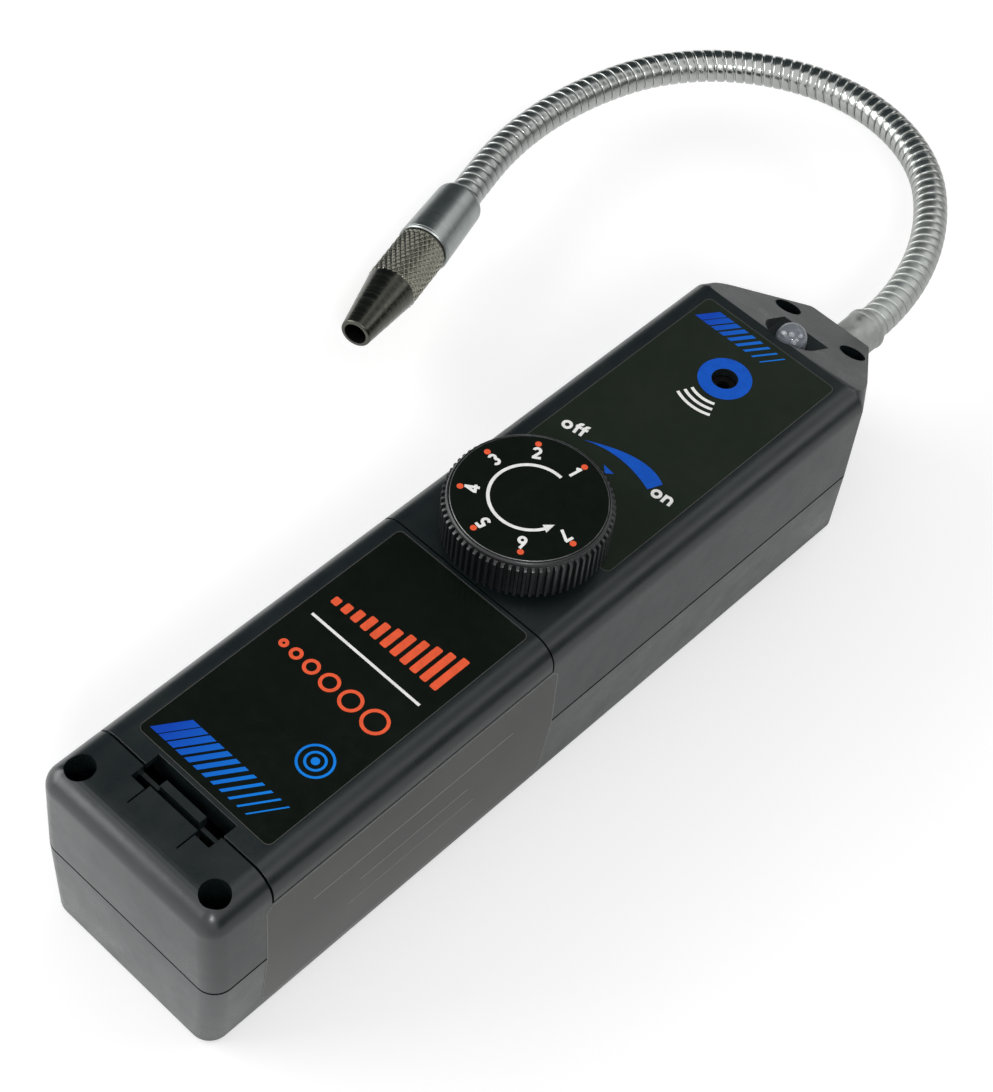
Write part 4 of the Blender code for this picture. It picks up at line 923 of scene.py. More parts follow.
# Strokes of the figures and letters, one unit high
STROKES = {
    "1": [[(-0.19, 0.74), (0.06, 0.93)], [(0.04, 0.0), (0.04, 1.0)]],
    "2": [arc((0.0, 0.68), 0.22, 165, -35, 14) + [Vector((-0.19, 0.14))], [(-0.29, 0.10), (0.30, 0.10)]],
    "3": [arc((-0.02, 0.70), 0.20, 150, -80, 14), arc((-0.02, 0.31), 0.21, 80, -150, 14)],
    "4": [[(0.10, 0.0), (0.10, 1.0)], [(0.10, 0.92), (-0.28, 0.30)], [(-0.36, 0.27), (0.31, 0.27)]],
    "5": [[(-0.22, 0.90), (0.25, 0.90)], [(-0.16, 0.94), (-0.19, 0.48)], arc((-0.03, 0.32), 0.22, 130, -150, 16)],
    "6": [[(0.10, 1.0), (-0.21, 0.42)]],
    "7": [[(-0.29, 0.90), (0.31, 0.90)], [(0.24, 0.90), (-0.09, 0.0)]],
    "o": [],
    "f": [[(0.0, 0.0), (0.0, 0.72)], arc((0.17, 0.72), 0.17, 180, 70, 8), [(-0.17, 0.60), (0.25, 0.60)]],
    "n": [[(-0.24, 0.0), (-0.24, 0.68)], arc((0.0, 0.36), 0.24, 180, 0, 14) + [Vector((0.24, 0.0))]],
}
RINGS = {"6": ((0.0, 0.31), 0.22), "o": ((0.0, 0.33), 0.26)}


def drawn(sign, size, weight, place, turn, surface):
    """One figure or letter in even strokes, its middle on a place, turned about Z."""
    carry = Matrix.Rotation(math.radians(turn), 2)
    middle = Vector((0.0, 0.5))

    def on_place(points):
        return [Vector(place) + carry @ ((Vector(point) - middle) * size) for point in points]

    parts = [band_along(on_place(stroke), weight, surface) for stroke in STROKES[sign]]
    if sign in RINGS:
        centre, radius = RINGS[sign]
        ring = beside(on_place(round_outline(centre, radius)), weight, closed=True)
        parts.append(band_between(*ring, surface - INK * 0.5, surface + INK))
    return parts


def word(signs, advance, size, weight, place, turn, surface):
    """A short word, its letters at the given places along its line."""
    run = Matrix.Rotation(math.radians(turn), 2) @ Vector((1.0, 0.0))
    parts = []
    for sign, step in zip(signs, advance):
        parts += drawn(sign, size, weight, Vector(place) + run * step, turn, surface)
    return parts


def gathered(things):
    """Several shapes as one object; each lies a hair over the one before."""
    bm = bmesh.new()
    for k, thing in enumerate(things):
        bm.from_mesh(moved(thing, (0, 0, k * 2e-7)).data)
        bpy.data.objects.remove(thing)
    return linked(bm, "print")


FIGURE_TURNS = [81.0 + 45.0 * k for k in range(7)]
DOT_RADIUS = 0.00078
DOT_CIRCLE = 0.0158
FIGURE_CIRCLE = 0.0131
FIGURE_HEIGHT = 0.0035
FIGURE_WEIGHT = 0.00072
ARROW_CIRCLE = 0.0094
ARROW_LINE = 0.0008
ARROW_HALF = 0.00115
WORD_HEIGHT = 0.0038
WORD_WEIGHT = 0.0008
LAST_STRIPE = 0.0004


def on_dial(radius, turn):
    angle = math.radians(turn)
    return Vector((radius * math.cos(angle), KNOB_Y + radius * math.sin(angle)))


def dial_figures():
    """The figures and the arrow that runs round inside them."""
    parts = []
    for k, turn in enumerate(FIGURE_TURNS):
        place = on_dial(FIGURE_CIRCLE, turn)
        parts += drawn(str(k + 1), FIGURE_HEIGHT, FIGURE_WEIGHT, place, turn - 90, DIAL_FACE)
    parts.append(band_along(arc((0, KNOB_Y), ARROW_CIRCLE, 84, 336, 90), ARROW_LINE, DIAL_FACE))
    head = ((ARROW_CIRCLE, 350), (ARROW_CIRCLE - ARROW_HALF, 334), (ARROW_CIRCLE + ARROW_HALF, 334))
    parts.append(flat_print([on_dial(*corner) for corner in head], DIAL_FACE))
    return gathered(parts)


def dial_dots():
    places = [on_dial(DOT_CIRCLE, turn) for turn in FIGURE_TURNS]
    return gathered([flat_print(round_outline(place, DOT_RADIUS), DIAL_FACE) for place in places])


def nose_white():
    """The words for off and on beside the knob, and a plain sign for sound by the buzzer."""
    parts = word("off", (-0.0022, 0.0003, 0.0020), WORD_HEIGHT, WORD_WEIGHT, (-0.0139, 0.1538), 11, LABEL_FACE)
    parts += word("on", (-0.0015, 0.0016), WORD_HEIGHT, WORD_WEIGHT, (0.0140, 0.1535), 7, LABEL_FACE)
    for k in range(3):
        wave = arc((0, BUZZER_Y), 0.0088 + 0.0019 * k, 246, 294, 16)
        parts.append(band_along(wave, WORD_WEIGHT, LABEL_FACE))
    return gathered(parts)


def nose_blue():
    """Ring round the sound hole, the volume wedge and the pointer."""
    outer = curve_through((-0.0101, 0.1521), (0.0023, 0.1572), (0.0117, 0.1558), 24)
    inner = curve_through((-0.0101, 0.1521), (-0.0005, 0.1542), (0.0102, 0.1521), 24)
    return gathered([annulus((0, BUZZER_Y), SOUND_HOLE + 0.0001, 0.0067, LABEL_FACE),
                     flat_print(list(reversed(outer)) + inner[1:], LABEL_FACE),
                     flat_print([(-0.0017, 0.1501), (0.0002, 0.1483), (0.0018, 0.1497)], LABEL_FACE)])


def hatch(left, near, far, count, pitch, first, lean):
    """Slanted stripes that grow thinner from the left to the right."""
    stripes = []
    for k in range(count):
        x = left + k * pitch
        width = first + (LAST_STRIPE - first) * k / (count - 1)
        outline = [(x, near), (x + width, near), (x + width + lean, far), (x + lean, far)]
        stripes.append(flat_print(outline, LABEL_FACE))
    return stripes


def nose_hatch():
    return gathered(hatch(-0.0188, 0.2024, 0.2078, 9, 0.0026, 0.0023, 0.0036))


def cover_orange():
    """Rising bars over a row of growing rings: plain signs for less and more."""
    parts = []
    count, pitch, half, foot = 11, 0.0031, 0.00098, 0.0754
    for k in range(count):
        x = (k - (count - 1) / 2) * pitch
        height = 0.0022 + 0.0088 * (k / (count - 1)) ** 1.2
        bar = rounded(rectangle(x - half, x + half, foot, foot + height), [0.0004] * 4, [4] * 4)
        parts.append(flat_print(bar, LABEL_FACE))
    x = -0.0164
    for k in range(6):
        radius = 0.0012 + 0.00044 * k
        x += radius
        parts.append(annulus((x, 0.0602), radius - 0.00085, radius, LABEL_FACE, 64))
        x += radius + 0.0011
    return gathered(parts)


def cover_white():
    return gathered([flat_print(rectangle(-0.0168, 0.0168, 0.0699, 0.0706), LABEL_FACE)])


def cover_blue():
    """Slanted stripes that fade along the near edge, and a ripple sign."""
    parts = hatch(-0.0186, 0.0244, 0.0322, 12, 0.0027, 0.0024, 0.0050)
    centre = (0.0118, 0.0440)
    parts.append(flat_print(round_outline(centre, 0.0010), LABEL_FACE))
    parts += [annulus(centre, radius - 0.0006, radius, LABEL_FACE) for radius in (0.0026, 0.0044)]
    return gathered(parts)


def side_rules():
    """Three short rules on the side film."""
    parts = []
    half = 0.00015
    for start, end, z in ((0.0290, 0.0906, 0.0092), (0.0430, 0.0766, 0.0012), (0.0400, 0.0796, -0.0068)):
        line = rectangle(start, end, z - half, z + half)
        faces = [[Vector((side_wall(p.y, reach).x, p.x, p.y)) for p in line] for reach in SIDE_PRINT]
        parts.append(loft(faces))
    return gathered(parts)


# Probe

def neck_line():
    """Centre line of the gooseneck as rows of (distance, point, heading)."""
    tilt = math.radians(NECK_TILT)
    runs = [(NECK_LEAD, 0.0)] + list(NECK_BENDS) + [(NECK_TAIL + SLEEVE_LENGTH + 0.05, 0.0)]
    rows = []
    ahead = aside = heading = walked = 0.0
    for length, angle in runs:
        count = max(1, round(length / NECK_STEP))
        step, bend = length / count, math.radians(angle) / count
        for _ in range(count):
            point = Vector((-aside * math.cos(tilt), BODY_LENGTH + ahead, -aside * math.sin(tilt)))
            rows.append((walked, point, heading))
            ahead += step * math.cos(heading + bend / 2)
            aside += step * math.sin(heading + bend / 2)
            heading += bend
            walked += step
    return rows


NECK_ROWS = neck_line()
NECK_UP = Vector((-math.sin(math.radians(NECK_TILT)), 0, math.cos(math.radians(NECK_TILT))))


def neck_place(distance):
    """Matrix at a distance along the neck: +Z runs along it, +X lies in its plane."""
    tilt = math.radians(NECK_TILT)
    walked, point, heading = NECK_ROWS[0]
    if distance >= 0:
        share = distance / NECK_ROWS[-1][0] * (len(NECK_ROWS) - 1)
        span = range(max(0, int(share) - 20), min(len(NECK_ROWS), int(share) + 20))
        walked, point, heading = NECK_ROWS[min(span, key=lambda i: abs(NECK_ROWS[i][0] - distance))]
    forward = Vector((-math.sin(heading) * math.cos(tilt), math.cos(heading), -math.sin(heading) * math.sin(tilt)))
    point = point + forward * (distance - walked)
    return Matrix.Translation(point) @ Matrix((NECK_UP.cross(forward), NECK_UP, forward)).transposed().to_4x4()


TIP_PLACE = neck_place(NECK_RUN)

# One pitch of the strip's profile: share of the pitch, share of the groove's depth
STRIP_SHAPE = ((0.000, 0.00), (0.105, 0.00), (0.115, 0.40), (0.140, 0.66), (0.185, 0.85), (0.260, 0.96),
               (0.400, 1.00), (0.680, 1.00), (0.820, 0.94), (0.905, 0.80), (0.955, 0.58), (0.985, 0.25))


def wound_strip():
    """The neck's strip: a long grid wound into a helix of rounded bands with a groove between turns."""
    sides = 44
    samples = len(STRIP_SHAPE)
    end = NECK_RUN + NECK_TUCK
    turns = int((end - NECK_START) / NECK_PITCH) + 2
    bm = bmesh.new()
    bmesh.ops.create_grid(bm, x_segments=sides, y_segments=turns * samples - 1, size=1.0)
    for i, vert in enumerate(bm.verts):
        row, j = divmod(i, sides + 1)
        share, height = STRIP_SHAPE[row % samples]
        distance = NECK_START + NECK_PITCH * (row // samples + share + j / sides - 1)
        a = 2 * math.pi * j / sides
        r = NECK_RADIUS - NECK_GROOVE * (1 - height)
        spot = Vector((r * math.cos(a), r * math.sin(a), 0))
        vert.co = neck_place(min(max(distance, NECK_START), end)) @ spot
    bmesh.ops.remove_doubles(bm, verts=bm.verts, dist=1e-6)
    bmesh.ops.holes_fill(bm, edges=[edge for edge in bm.edges if edge.is_boundary], sides=0)
    return object_from(bm)


def ferrule_skin():
    """Rolled ferrule with a turned-over lip."""
    bore, outer = NECK_RADIUS + FIT, FERRULE_RADIUS
    end = BODY_LENGTH + NECK_LEAD
    front = BODY_LENGTH - SHELL_WALL - FIT
    back = front - FERRULE_FLANGE_THICKNESS
    wide = outer + FERRULE_FLANGE
    profile = [(bore, back - FERRULE_TAIL), (outer, back - FERRULE_TAIL), (outer, back),
               (wide, back), (wide, front), (outer, front), (outer, end - 0.0022)]
    for k in range(9):
        a = math.pi * k / 8
        profile.append((outer + FERRULE_LIP * math.sin(a), end - 0.0012 - 0.0008 * math.cos(a)))
    profile += [(outer - 0.0001, end - 0.0001), (bore + 0.00015, end), (bore, end - 0.0003)]
    return along_y(turned(profile, 72, closed=True))


def sleeve_skin():
    """Plated sleeve with a round shoulder and a bright front ring."""
    neck = NECK_RADIUS + FIT
    wide = SLEEVE_FRONT - SLEEVE_WALL
    seat = NECK_TUCK + FIT + 0.0012
    profile = [(neck, 0.0002)]
    for k, (rise, draw) in enumerate(quarter(8)):
        profile.append((SLEEVE_REAR - SLEEVE_SHOULDER * (1 - rise) + 0.00001 * k, SLEEVE_SHOULDER * draw))
    for narrower, back in ((0.00002, 0.0010), (0.0001, 0.0009), (0.0001, 0.0006),
                           (0, 0.0005), (0, 0.0003), (0.0003, 0)):
        profile.append((SLEEVE_FRONT - narrower, SLEEVE_LENGTH - back))
    profile += [(wide, SLEEVE_LENGTH), (wide, seat), (neck, seat)]
    return moved(turned(profile, 96, closed=True), TIP_PLACE)


def socket_skin():
    """Insulating plug with the threaded spigot under the nozzle."""
    wide = SLEEVE_FRONT - SLEEVE_WALL - FIT
    face = SLEEVE_LENGTH - 0.0004
    profile = [(wide, face - SOCKET_LENGTH), (wide, face), (SPIGOT_RADIUS, face)]
    turns = 11
    pitch = (SPIGOT_LENGTH - 0.0012) / turns
    for k in range(turns):
        base = face + 0.0006 + pitch * k
        profile += [(SPIGOT_RADIUS - 0.0003, base), (SPIGOT_RADIUS, base + pitch * 0.4),
                    (SPIGOT_RADIUS, base + pitch * 0.5)]
    top = face + SPIGOT_LENGTH
    pit = SENSOR_RADIUS + FIT
    profile += [(SPIGOT_RADIUS - 0.0004, top), (pit, top), (pit, top - 0.004)]
    return moved(turned(profile, 64), TIP_PLACE)


KNURL_LINES = 30
KNURL_DEPTH = 0.00050
KNURL_ANGLE = 30.0
KNURL_STEPS = 110
CONE_STEPS = 48
TURNING_MARK = 0.00002
FROM_TIP = TIP_PLACE.inverted()


def knurl(angle, height):
    """Depth of the diamond knurl at a place on the grip, 0 on a peak and 1 in a groove."""
    pitch = 2 * math.pi * NOZZLE_RADIUS / KNURL_LINES
    climb = pitch / math.tan(math.radians(KNURL_ANGLE))
    first = (angle * KNURL_LINES / (2 * math.pi) + height / climb) % 1.0
    second = (angle * KNURL_LINES / (2 * math.pi) - height / climb) % 1.0
    deep = max(abs(first - 0.5), abs(second - 0.5)) * 2
    return max((deep - 0.18) / 0.82, 0.0)


def nozzle_skin():
    """Nozzle: knurled grip, smooth cone with turning marks, open mouth."""
    sides = KNURL_LINES * 8
    start = SLEEVE_LENGTH + NOZZLE_GAP
    shoulder = start + NOZZLE_GRIP
    end = shoulder + NOZZLE_CONE
    spigot = SPIGOT_RADIUS + FIT
    rings = [circle(spigot, start, sides), circle(NOZZLE_RADIUS - 0.0005, start, sides),
             circle(NOZZLE_RADIUS - 0.00025, start + 0.00025, sides)]
    for k in range(KNURL_STEPS + 1):
        height = start + 0.00045 + (NOZZLE_GRIP - 0.0008) * k / KNURL_STEPS
        rings.append(circle(lambda angle: NOZZLE_RADIUS - KNURL_DEPTH * knurl(angle, height), height, sides))
    cone = []
    wide = NOZZLE_RADIUS - 0.0002
    for k in range(CONE_STEPS):
        share = k / CONE_STEPS
        mark = TURNING_MARK * noise.noise(Vector((k * 0.9, 0.3, 0.7)))
        cone.append((wide - (wide - NOZZLE_MOUTH - 0.0001) * share + mark,
                     shoulder - 0.0002 + (NOZZLE_CONE - 0.0003) * share))
    hollow = SLEEVE_LENGTH + SPIGOT_LENGTH + FIT
    cone += [(NOZZLE_MOUTH + 0.0001, end - 0.0005), (NOZZLE_MOUTH, end - 0.0002), (NOZZLE_MOUTH - 0.0002, end),
             (NOZZLE_BORE + 0.0002, end), (NOZZLE_BORE, end - 0.0002), (NOZZLE_BORE, end - NOZZLE_MOUTH_LENGTH),
             (SPIGOT_RADIUS - 0.0006, shoulder), (SPIGOT_RADIUS - 0.0006, hollow), (spigot, hollow)]
    rings += [circle(radius, height, sides) for radius, height in cone]
    return moved(loft(rings, closed=True), TIP_PLACE)


def nozzle_part(point):
    """0 for the grip, 1 for the cone, 2 for the hollow, of a place on the nozzle; the cone takes a painted shade
    and the hollow a darker painted shade.
    """
    local = FROM_TIP @ point
    reach = math.hypot(local.x, local.y)
    shoulder = SLEEVE_LENGTH + NOZZLE_GAP + NOZZLE_GRIP
    if reach < NOZZLE_BORE + 0.0001 or (reach < SPIGOT_RADIUS + FIT * 1.1 and local.z < shoulder):
        return 2
    return 1 if local.z > shoulder - 0.0002 else 0


# Lamp

LAMP_FLANGE = 0.0006
LAMP_HEART = LAMP_TOP - 0.0034


def lamp_lens():
    """Domed lamp body on its flange."""
    base = BOARD_TOP + FIT
    rim = LAMP_RADIUS + LAMP_FLANGE
    straight = LAMP_TOP - LAMP_RADIUS
    profile = [(rim - 0.0001, base), (rim, base + 0.0001), (rim, base + 0.0009), (rim - 0.0001, base + 0.001),
               (LAMP_RADIUS, base + 0.001), (LAMP_RADIUS, straight)]
    profile += [(LAMP_RADIUS * (1 - draw), straight + LAMP_RADIUS * rise) for rise, draw in quarter(25)[1:-1]]
    return moved(turned(profile, 72), (0, LAMP_Y, 0))


def lamp_core():
    """Clouded heart of the lamp under its dome."""
    profile = [(0.0034, BOARD_TOP + FIT + 0.0004), (0.0034, LAMP_HEART - 0.0006), (0.0030, LAMP_HEART - 0.0002),
               (0.0020, LAMP_HEART)]
    return moved(turned(profile, 48), (0, LAMP_Y, 0))


def lamp_frame():
    """Lead frame inside the lamp: two posts, and four bright pads on the heart, whose pale colour is partly a
    painted highlight for the bright spots under the dome.
    """
    parts = [block((left, -0.0003, BOARD_TOP - 0.0012), (left + 0.0008, 0.0003, LAMP_HEART))
             for left in (-0.0017, 0.0009)]
    for x, y, size in ((-0.0015, -0.0006, 0.00062), (0.0014, -0.0012, 0.00062), (0.0012, 0.0012, 0.00045),
                       (-0.0002, 0.0002, 0.00055)):
        pad = [(size, LAMP_HEART), (size, LAMP_HEART + 0.0002), (size * 0.6, LAMP_HEART + 0.00045)]
        parts.append(moved(turned(pad, 24), (x, y, 0)))
    return moved(gathered(parts), (0, LAMP_Y, 0))


# Cells

CELL_NUB = 0.0015
CELL_ROLL = 0.0012
SCREW_HEAD = 0.0022
SHANK_RADIUS = 0.00145


def cell_skin(node):
    """Dry cell: a sleeve rolled over both shoulders, a recessed end and a pressed cap."""
    base, top = low(node), high(node)
    middle = (base + top) / 2
    wide = (top.x - base.x) / 2
    shoulder = top.y - CELL_NUB
    profile = [(wide - 0.0030, base.y + 0.0002), (wide - 0.0022, base.y + 0.0001), (wide - 0.0016, base.y),
               (wide - 0.0008, base.y + 0.0001), (wide - 0.0002, base.y + 0.0005), (wide, base.y + 0.0011),
               (wide, shoulder - 0.0012), (wide - 0.0002, shoulder - 0.0006), (wide - 0.0008, shoulder - 0.0001),
               (wide - 0.0016, shoulder), (wide - 0.0022, shoulder - 0.0002), (0.0052, shoulder - 0.0002),
               (0.0036, shoulder - 0.0001), (0.0032, shoulder + 0.0003), (0.0032, top.y - 0.0004), (0.0028, top.y)]
    return moved(along_y(turned(profile, 72)), (middle.x, 0, middle.z))


def cell_part(node):
    """What tells a cell's sleeve, 0, from its bare ends, 1."""
    middle = (low(node) + high(node)) / 2
    reach = (high(node).x - low(node).x) / 2 - CELL_ROLL
    return lambda point: int(math.hypot(point.x - middle.x, point.z - middle.z) < reach)


# Screws

def housing_screw_skin(node):
    """Pan head with a cross recess over the frame's plain screw."""
    base, top = low(node), high(node)
    middle = (base + top) / 2
    head = (top.x - base.x) / 2
    seat = top.z - SCREW_HEAD
    shank = SHANK_RADIUS
    profile = [(shank * 0.3, base.z), (shank, base.z + shank), (shank, seat), (head - 0.0001, seat),
               (head, seat + 0.0002), (head, seat + 0.0009), (head * 0.93, seat + 0.0015),
               (head * 0.72, seat + 0.0020), (head * 0.4, top.z)]
    screw = turned(profile, 48)
    reach, blade = head * 0.55, head * 0.13
    for long, thin in ((reach, blade), (blade, reach)):
        cut(screw, block((-long, -thin, top.z - 0.0013), (long, thin, top.z + 0.001)))
    return moved(screw, (middle.x, middle.y, 0))


# Dressing

def dress():
    plastic = moulded_plastic("moulded_plastic", (0.0052, 0.0090, 0.0102), (0.0078, 0.0124, 0.0136), 0.18, 0.72)
    dark = moulded_plastic("knob_plastic", (0.0058, 0.0070, 0.0078), (0.0085, 0.0100, 0.0108), 0.12, 0.6)
    film = label_film("cover_film_print", (0.0036, 0.0058, 0.0041), (0.0055, 0.0082, 0.0058))
    nose = label_film("nose_film_print", (0.0125, 0.0178, 0.0120), (0.0170, 0.0230, 0.0160))
    grey = side_film()
    white = ink("white_ink", (0.84, 0.84, 0.82))
    blue = ink("blue_ink", (0.000, 0.085, 0.520), 0.36)
    blend = blended_ink("blended_blue_ink", (0.000, 0.050, 0.420), (0.000, 0.200, 0.720), -0.016, 0.012)
    orange = ink("orange_ink", (0.830, 0.105, 0.035), 0.40)
    # pale ink for the printed side rules, and a painted highlight on the side film's edge
    pale = ink("pale_ink_and_edge_highlight", (0.26, 0.26, 0.25), 0.5)
    # painted highlight: lighter ink for the films' cut edges
    painted_edge_highlight = ink("film_edge_painted_highlight", (0.075, 0.076, 0.072), 0.5)
    forward = TIP_PLACE.to_3x3() @ Vector((0, 0, 1))
    strip = wound_plating()
    satin = brushed("satin_sleeve", (0.34, 0.364, 0.358), 0.34, forward, 0.012)
    ferrule = plated("ferrule_plate", (0.48, 0.495, 0.472), 0.62, 0.06)
    gun = brushed("dark_nickel", (0.34, 0.335, 0.278), 0.27, forward, 0.20, 1500.0)
    # painted shade: the cone is the grip's metal in a much darker colour
    cone = brushed("nickel_cone_painted_shade", (0.100, 0.101, 0.086), 0.25, forward, 0.34, 800.0)
    # painted shade: near-black colour inside the nozzle's bore
    hollow = plated("bore_painted_shade", (0.006, 0.006, 0.006), 0.6)
    # painted highlight: pale metallic finish for the dial plate's cut edge
    rim = plated("dial_edge_painted_highlight", (0.20, 0.205, 0.20), 0.40)
    milky = ink("lamp_heart", (0.13, 0.14, 0.155), 0.30)
    # pale lead frame pads, partly a painted highlight
    pads = ink("lamp_pads_painted_highlight", (0.42, 0.43, 0.44), 0.25)
    steel = plated("zinc_steel", (0.42, 0.42, 0.40), 0.32)
    resin = moulded_plastic("socket_resin", (0.50, 0.48, 0.43), (0.55, 0.53, 0.48))
    black = moulded_plastic("component_plastic", (0.005, 0.005, 0.006), (0.008, 0.008, 0.009), 0.10, 0.15)

    present(soften(upper_skin()), "upper_housing", plastic, "housing", ["upper_shell"])
    present(soften(lower_skin()), "lower_housing", plastic, "housing", ["lower_shell"])
    present(soften(cover_skin()), "battery_lid", plastic, "cover", ["battery_cover"])

    for name, node, finish, body, near, far in (
            ("lid_film", "cover_label", film, "cover", COVER_LABEL_NEAR, COVER_LABEL_FAR),
            ("nose_film", "nose_label", nose, "housing", NOSE_LABEL_NEAR, NOSE_LABEL_FAR)):
        outline, inner = (top_outline(near, far, -margin) for margin in (0.0, FILM_EDGE))
        sheet = prism(inner, LABEL_TOP - LABEL_THICKNESS, LABEL_FACE)
        if body == "housing":
            cut(sheet, post(0, BUZZER_Y, SOUND_HOLE, 0, TALL, 64), post(0, KNOB_Y, NUT_CLEAR, 0, TALL))
        present(sheet, name, finish, body, [node])
        # painted highlight: a lighter band round each film's edge
        present(band_between(inner, outline, LABEL_FACE - 0.0003, LABEL_FACE), name + "_edge", painted_edge_highlight, body)
    present(side_sheet(-FILM_EDGE, *SIDE_FILM), "side_film", grey, "housing", ["side_label"])
    # painted highlight: a band of pale ink round the side film's edge
    edge = cut(side_sheet(0, *SIDE_FILM), side_sheet(-FILM_EDGE, -0.001, 0.001))
    present(edge, "side_film_edge", pale, "housing")

    present(knob_skin(), "ribbed_knob", dark, "knob", ["sensitivity_knob"])
    present(dial_plate(), "dial_plate", film, "knob", ["dial_disc"])
    present(dial_edge(), "dial_plate_edge", rim, "knob")
    present(dial_figures(), "dial_figures", white, "knob")
    present(dial_dots(), "dial_dots", orange, "knob")
    present(nose_white(), "nose_signs", white, "housing")
    present(nose_blue(), "nose_blue", blue, "housing")
    present(nose_hatch(), "nose_hatch", blend, "housing")
    present(cover_orange(), "lid_signs", orange, "cover")
    present(cover_white(), "lid_rule", white, "cover")
    present(cover_blue(), "lid_hatch", blend, "cover")
    present(side_rules(), "side_rules", pale, "housing")

    present(wound_strip(), "wound_neck", strip, "housing", ["gooseneck"])
    present(ferrule_skin(), "rolled_ferrule", ferrule, "housing", ["neck_ferrule"])
    present(sleeve_skin(), "plated_sleeve", satin, "housing", ["tip_sleeve"])
    present(socket_skin(), "threaded_socket", resin, "housing", ["sensor_socket"])
    present(nozzle_skin(), "knurled_nozzle", [gun, cone, hollow], "nozzle", ["nozzle"],
            sharp=50.0, part_of=nozzle_part)

    present(lamp_lens(), "lamp_lens", clear_epoxy(), "housing", ["led_lamp"])
    present(lamp_core(), "lamp_heart", milky, "housing")
    present(lamp_frame(), "lamp_lead_frame", pads, "housing")
    for node in sorted(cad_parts):
        if node.startswith("housing_screw"):
            present(housing_screw_skin(node), node + "_head", steel, "housing", [node], Matrix())
    wrap = cell_wrap()
    for node in ("cell_near", "cell_far"):
        present(cell_skin(node), node + "_wrapped", [wrap, steel], "housing", [node], Matrix(),
                part_of=cell_part(node))

    keep(board_laminate(), "circuit_board")
    keep(black, "control_chip", "buzzer")
    keep(steel, "contact_near", "contact_far", "contact_spring", "board_screw_front", "board_screw_rear",
         "potentiometer", "pot_washer", "pot_nut", "pot_shaft", "sensor_tip")


def keep(material, *nodes):
    """Give nodes of the frame their finish."""
    for node in nodes:
        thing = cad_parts[node]
        thing.data.materials.clear()
        thing.data.materials.append(material)


# Studio

CAMERA_PLACE = (0.21653, -0.28823, 0.50924)
CAMERA_TURN = (37.7756, -4.6623, 43.8436)
CAMERA_LENS = 83.843
WHITE = (1.0, 1.0, 1.0)
BLACK = (0.0, 0.0, 0.0)
WORLD_LIGHT = 0.55
FLOOR_SIZE = 6.0
FLOOR_DROP = 0.0001
FLOOR_TONE = (0.68, 0.68, 0.68)
FLOOR_GLOW = 0.42
FLOOR_DIM = 0.25
DIM_WAY = (1.0, 0.4, 0.0)
DIM_FROM, DIM_TO = -0.030, 0.025
FAR_GLOW = 0.62
FAR_FROM, FAR_TO = 0.4, 2.0
CARD_DISTANCE = 1.2
# Name, way from the middle, radius of the dark core, radius of the edge, tone of the core
CARDS = (("ceiling_card", (-0.70, 0.44, 0.56), 0.78, 1.18, (0.045, 0.058, 0.062)),
         ("far_card", (0.30, 0.46, 0.84), 0.16, 0.50, (0.260, 0.275, 0.280)))
WALL_DISTANCE = 1.6
WALL_TURNS = (-20, 125)
WALL_HEIGHT = 1.3
WALL_DARK_SHARE = 0.55
WALL_LEVEL = 0.12
# Name, place, target, size, power
LAMPS = (("key", (-1.05, -0.75, 0.62), (0, 0, 0.03), (1.3, 0.8), 12.0),
         ("rim", (0.45, 1.15, 0.9), (0, 0.05, 0.03), (1.4, 1.0), 4.5),
         ("fill", (0.85, -0.85, 1.1), (0, 0, 0.03), (0.30, 0.30), 6.0))


def seen_directly(nodes):
    """1 for what the camera, a shiny surface or glass sees, 0 for light that falls on the object."""
    path = nodes.node("ShaderNodeLightPath").outputs
    total = path["Is Camera Ray"]
    for kind in ("Is Glossy Ray", "Is Transmission Ray"):
        total = nodes.math("MAXIMUM", total, path[kind])
    return total


def white_floor():
    """Pale floor that shows as white and takes the object's shadow.

    Shiny parts see it dimmer on the far right.
    """
    bm = bmesh.new()
    bmesh.ops.create_grid(bm, x_segments=1, y_segments=1, size=FLOOR_SIZE)
    bmesh.ops.translate(bm, vec=(0, 0, -FLOOR_DROP), verts=bm.verts)
    floor = object_from(bm, "floor")
    look = Look("floor", FLOOR_TONE, 0.9, Specular_IOR_Level=0.1, Emission_Color=(*WHITE, 1.0))
    across = look.measure("DOT_PRODUCT", look.place, DIM_WAY)
    shiny = look.between(across, DIM_FROM, DIM_TO, FLOOR_GLOW, FLOOR_GLOW * FLOOR_DIM)
    plain = look.between(look.measure("LENGTH", look.place), FAR_FROM, FAR_TO, FLOOR_GLOW, FAR_GLOW)
    is_shiny = look.node("ShaderNodeLightPath").outputs["Is Glossy Ray"]
    glow = look.node("ShaderNodeMix", {"Factor": is_shiny, "A": plain, "B": shiny}).outputs["Result"]
    look.give(Emission_Strength=look.math("MULTIPLY", glow, seen_directly(look)))
    floor.data.materials.append(look.material)
    return floor


def dark_card(name, way, core, reach, colour):
    """Round dark card that fades outwards, which only shiny surfaces see."""
    bm = bmesh.new()
    bmesh.ops.create_circle(bm, cap_ends=True, segments=96, radius=reach)
    card = object_from(bm, name)
    way = Vector(way).normalized()
    card.matrix_world = Matrix.Translation(way * CARD_DISTANCE) @ way.to_track_quat("Z", "Y").to_matrix().to_4x4()
    look = Look(name, BLACK, 1.0, Specular_IOR_Level=0.0, Emission_Strength=1.0)
    fade = look.between(look.measure("LENGTH", look.place), core, reach, interpolation_type="SMOOTHSTEP")
    look.give(Emission_Color=look.blend(fade, colour, WHITE))
    return for_shine_only(card, look)


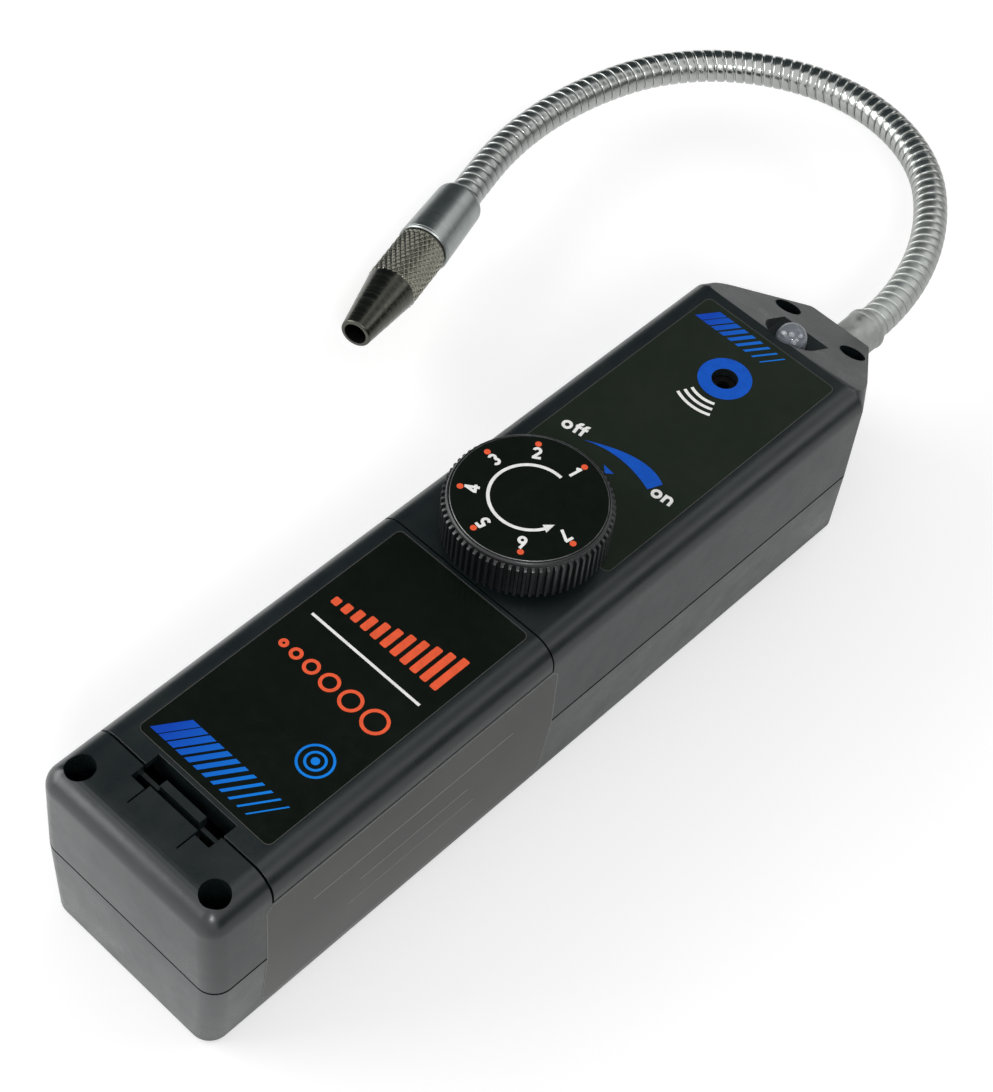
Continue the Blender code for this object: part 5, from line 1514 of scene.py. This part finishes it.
def dark_wall():
    """Dim band low on the far side, brighter upwards, which only shiny surfaces see."""
    bm = bmesh.new()
    foot = [bm.verts.new((x, y, 0)) for x, y in arc((0, 0), WALL_DISTANCE, *WALL_TURNS, 48)]
    edges = [bm.edges.new(pair) for pair in zip(foot, foot[1:])]
    grown = bmesh.ops.extrude_edge_only(bm, edges=edges)["geom"]
    bmesh.ops.translate(bm, vec=(0, 0, WALL_HEIGHT), verts=only_verts(grown))
    wall = object_from(bm, "far_wall")
    look = Look("far_wall", BLACK, 0.5, Specular_IOR_Level=0.0, Emission_Color=(*WHITE, 1.0))
    look.give(Emission_Strength=look.between(look.axis("Z"), WALL_HEIGHT * WALL_DARK_SHARE, WALL_HEIGHT,
                                             WALL_LEVEL, 1.0, interpolation_type="SMOOTHSTEP"))
    return for_shine_only(wall, look)


def for_shine_only(card, look):
    """Hide a card from all but the rays that a shiny surface sends out."""
    card.data.materials.append(look.material)
    for kind in ("camera", "diffuse", "transmission", "volume_scatter", "shadow"):
        setattr(card, "visible_" + kind, False)
    return card


def soft_box(name, place, target, size, power):
    """A soft box that looks at a target."""
    light = bpy.data.lights.new(name, "AREA")
    light.shape = "RECTANGLE"
    light.size, light.size_y = size
    light.energy = power
    made = bpy.data.objects.new(name, light)
    bpy.context.scene.collection.objects.link(made)
    made.location = place
    made.rotation_euler = (Vector(target) - Vector(place)).to_track_quat("-Z", "Y").to_euler()


def studio():
    scene = bpy.context.scene
    scene.view_settings.view_transform = "Standard"
    lens = bpy.data.cameras.new("camera")
    lens.sensor_width = 36.0
    lens.lens = CAMERA_LENS
    lens.clip_start = 0.01
    camera = bpy.data.objects.new("camera", lens)
    scene.collection.objects.link(camera)
    camera.location = CAMERA_PLACE
    camera.rotation_euler = [math.radians(turn) for turn in CAMERA_TURN]
    scene.camera = camera

    scene.world = bpy.data.worlds.new("backdrop")
    scene.world.use_nodes = True
    nodes = Nodes(scene.world.node_tree)
    background = nodes.tree.nodes["Background"].inputs
    nodes.feed(background["Color"], (*WHITE, 1.0))
    nodes.feed(background["Strength"], nodes.between(seen_directly(nodes), 0.0, 1.0, WORLD_LIGHT, 1.0))

    white_floor()
    dark_wall()
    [dark_card(*card) for card in CARDS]
    for lamp in LAMPS:
        soft_box(*lamp)


dress()
studio()
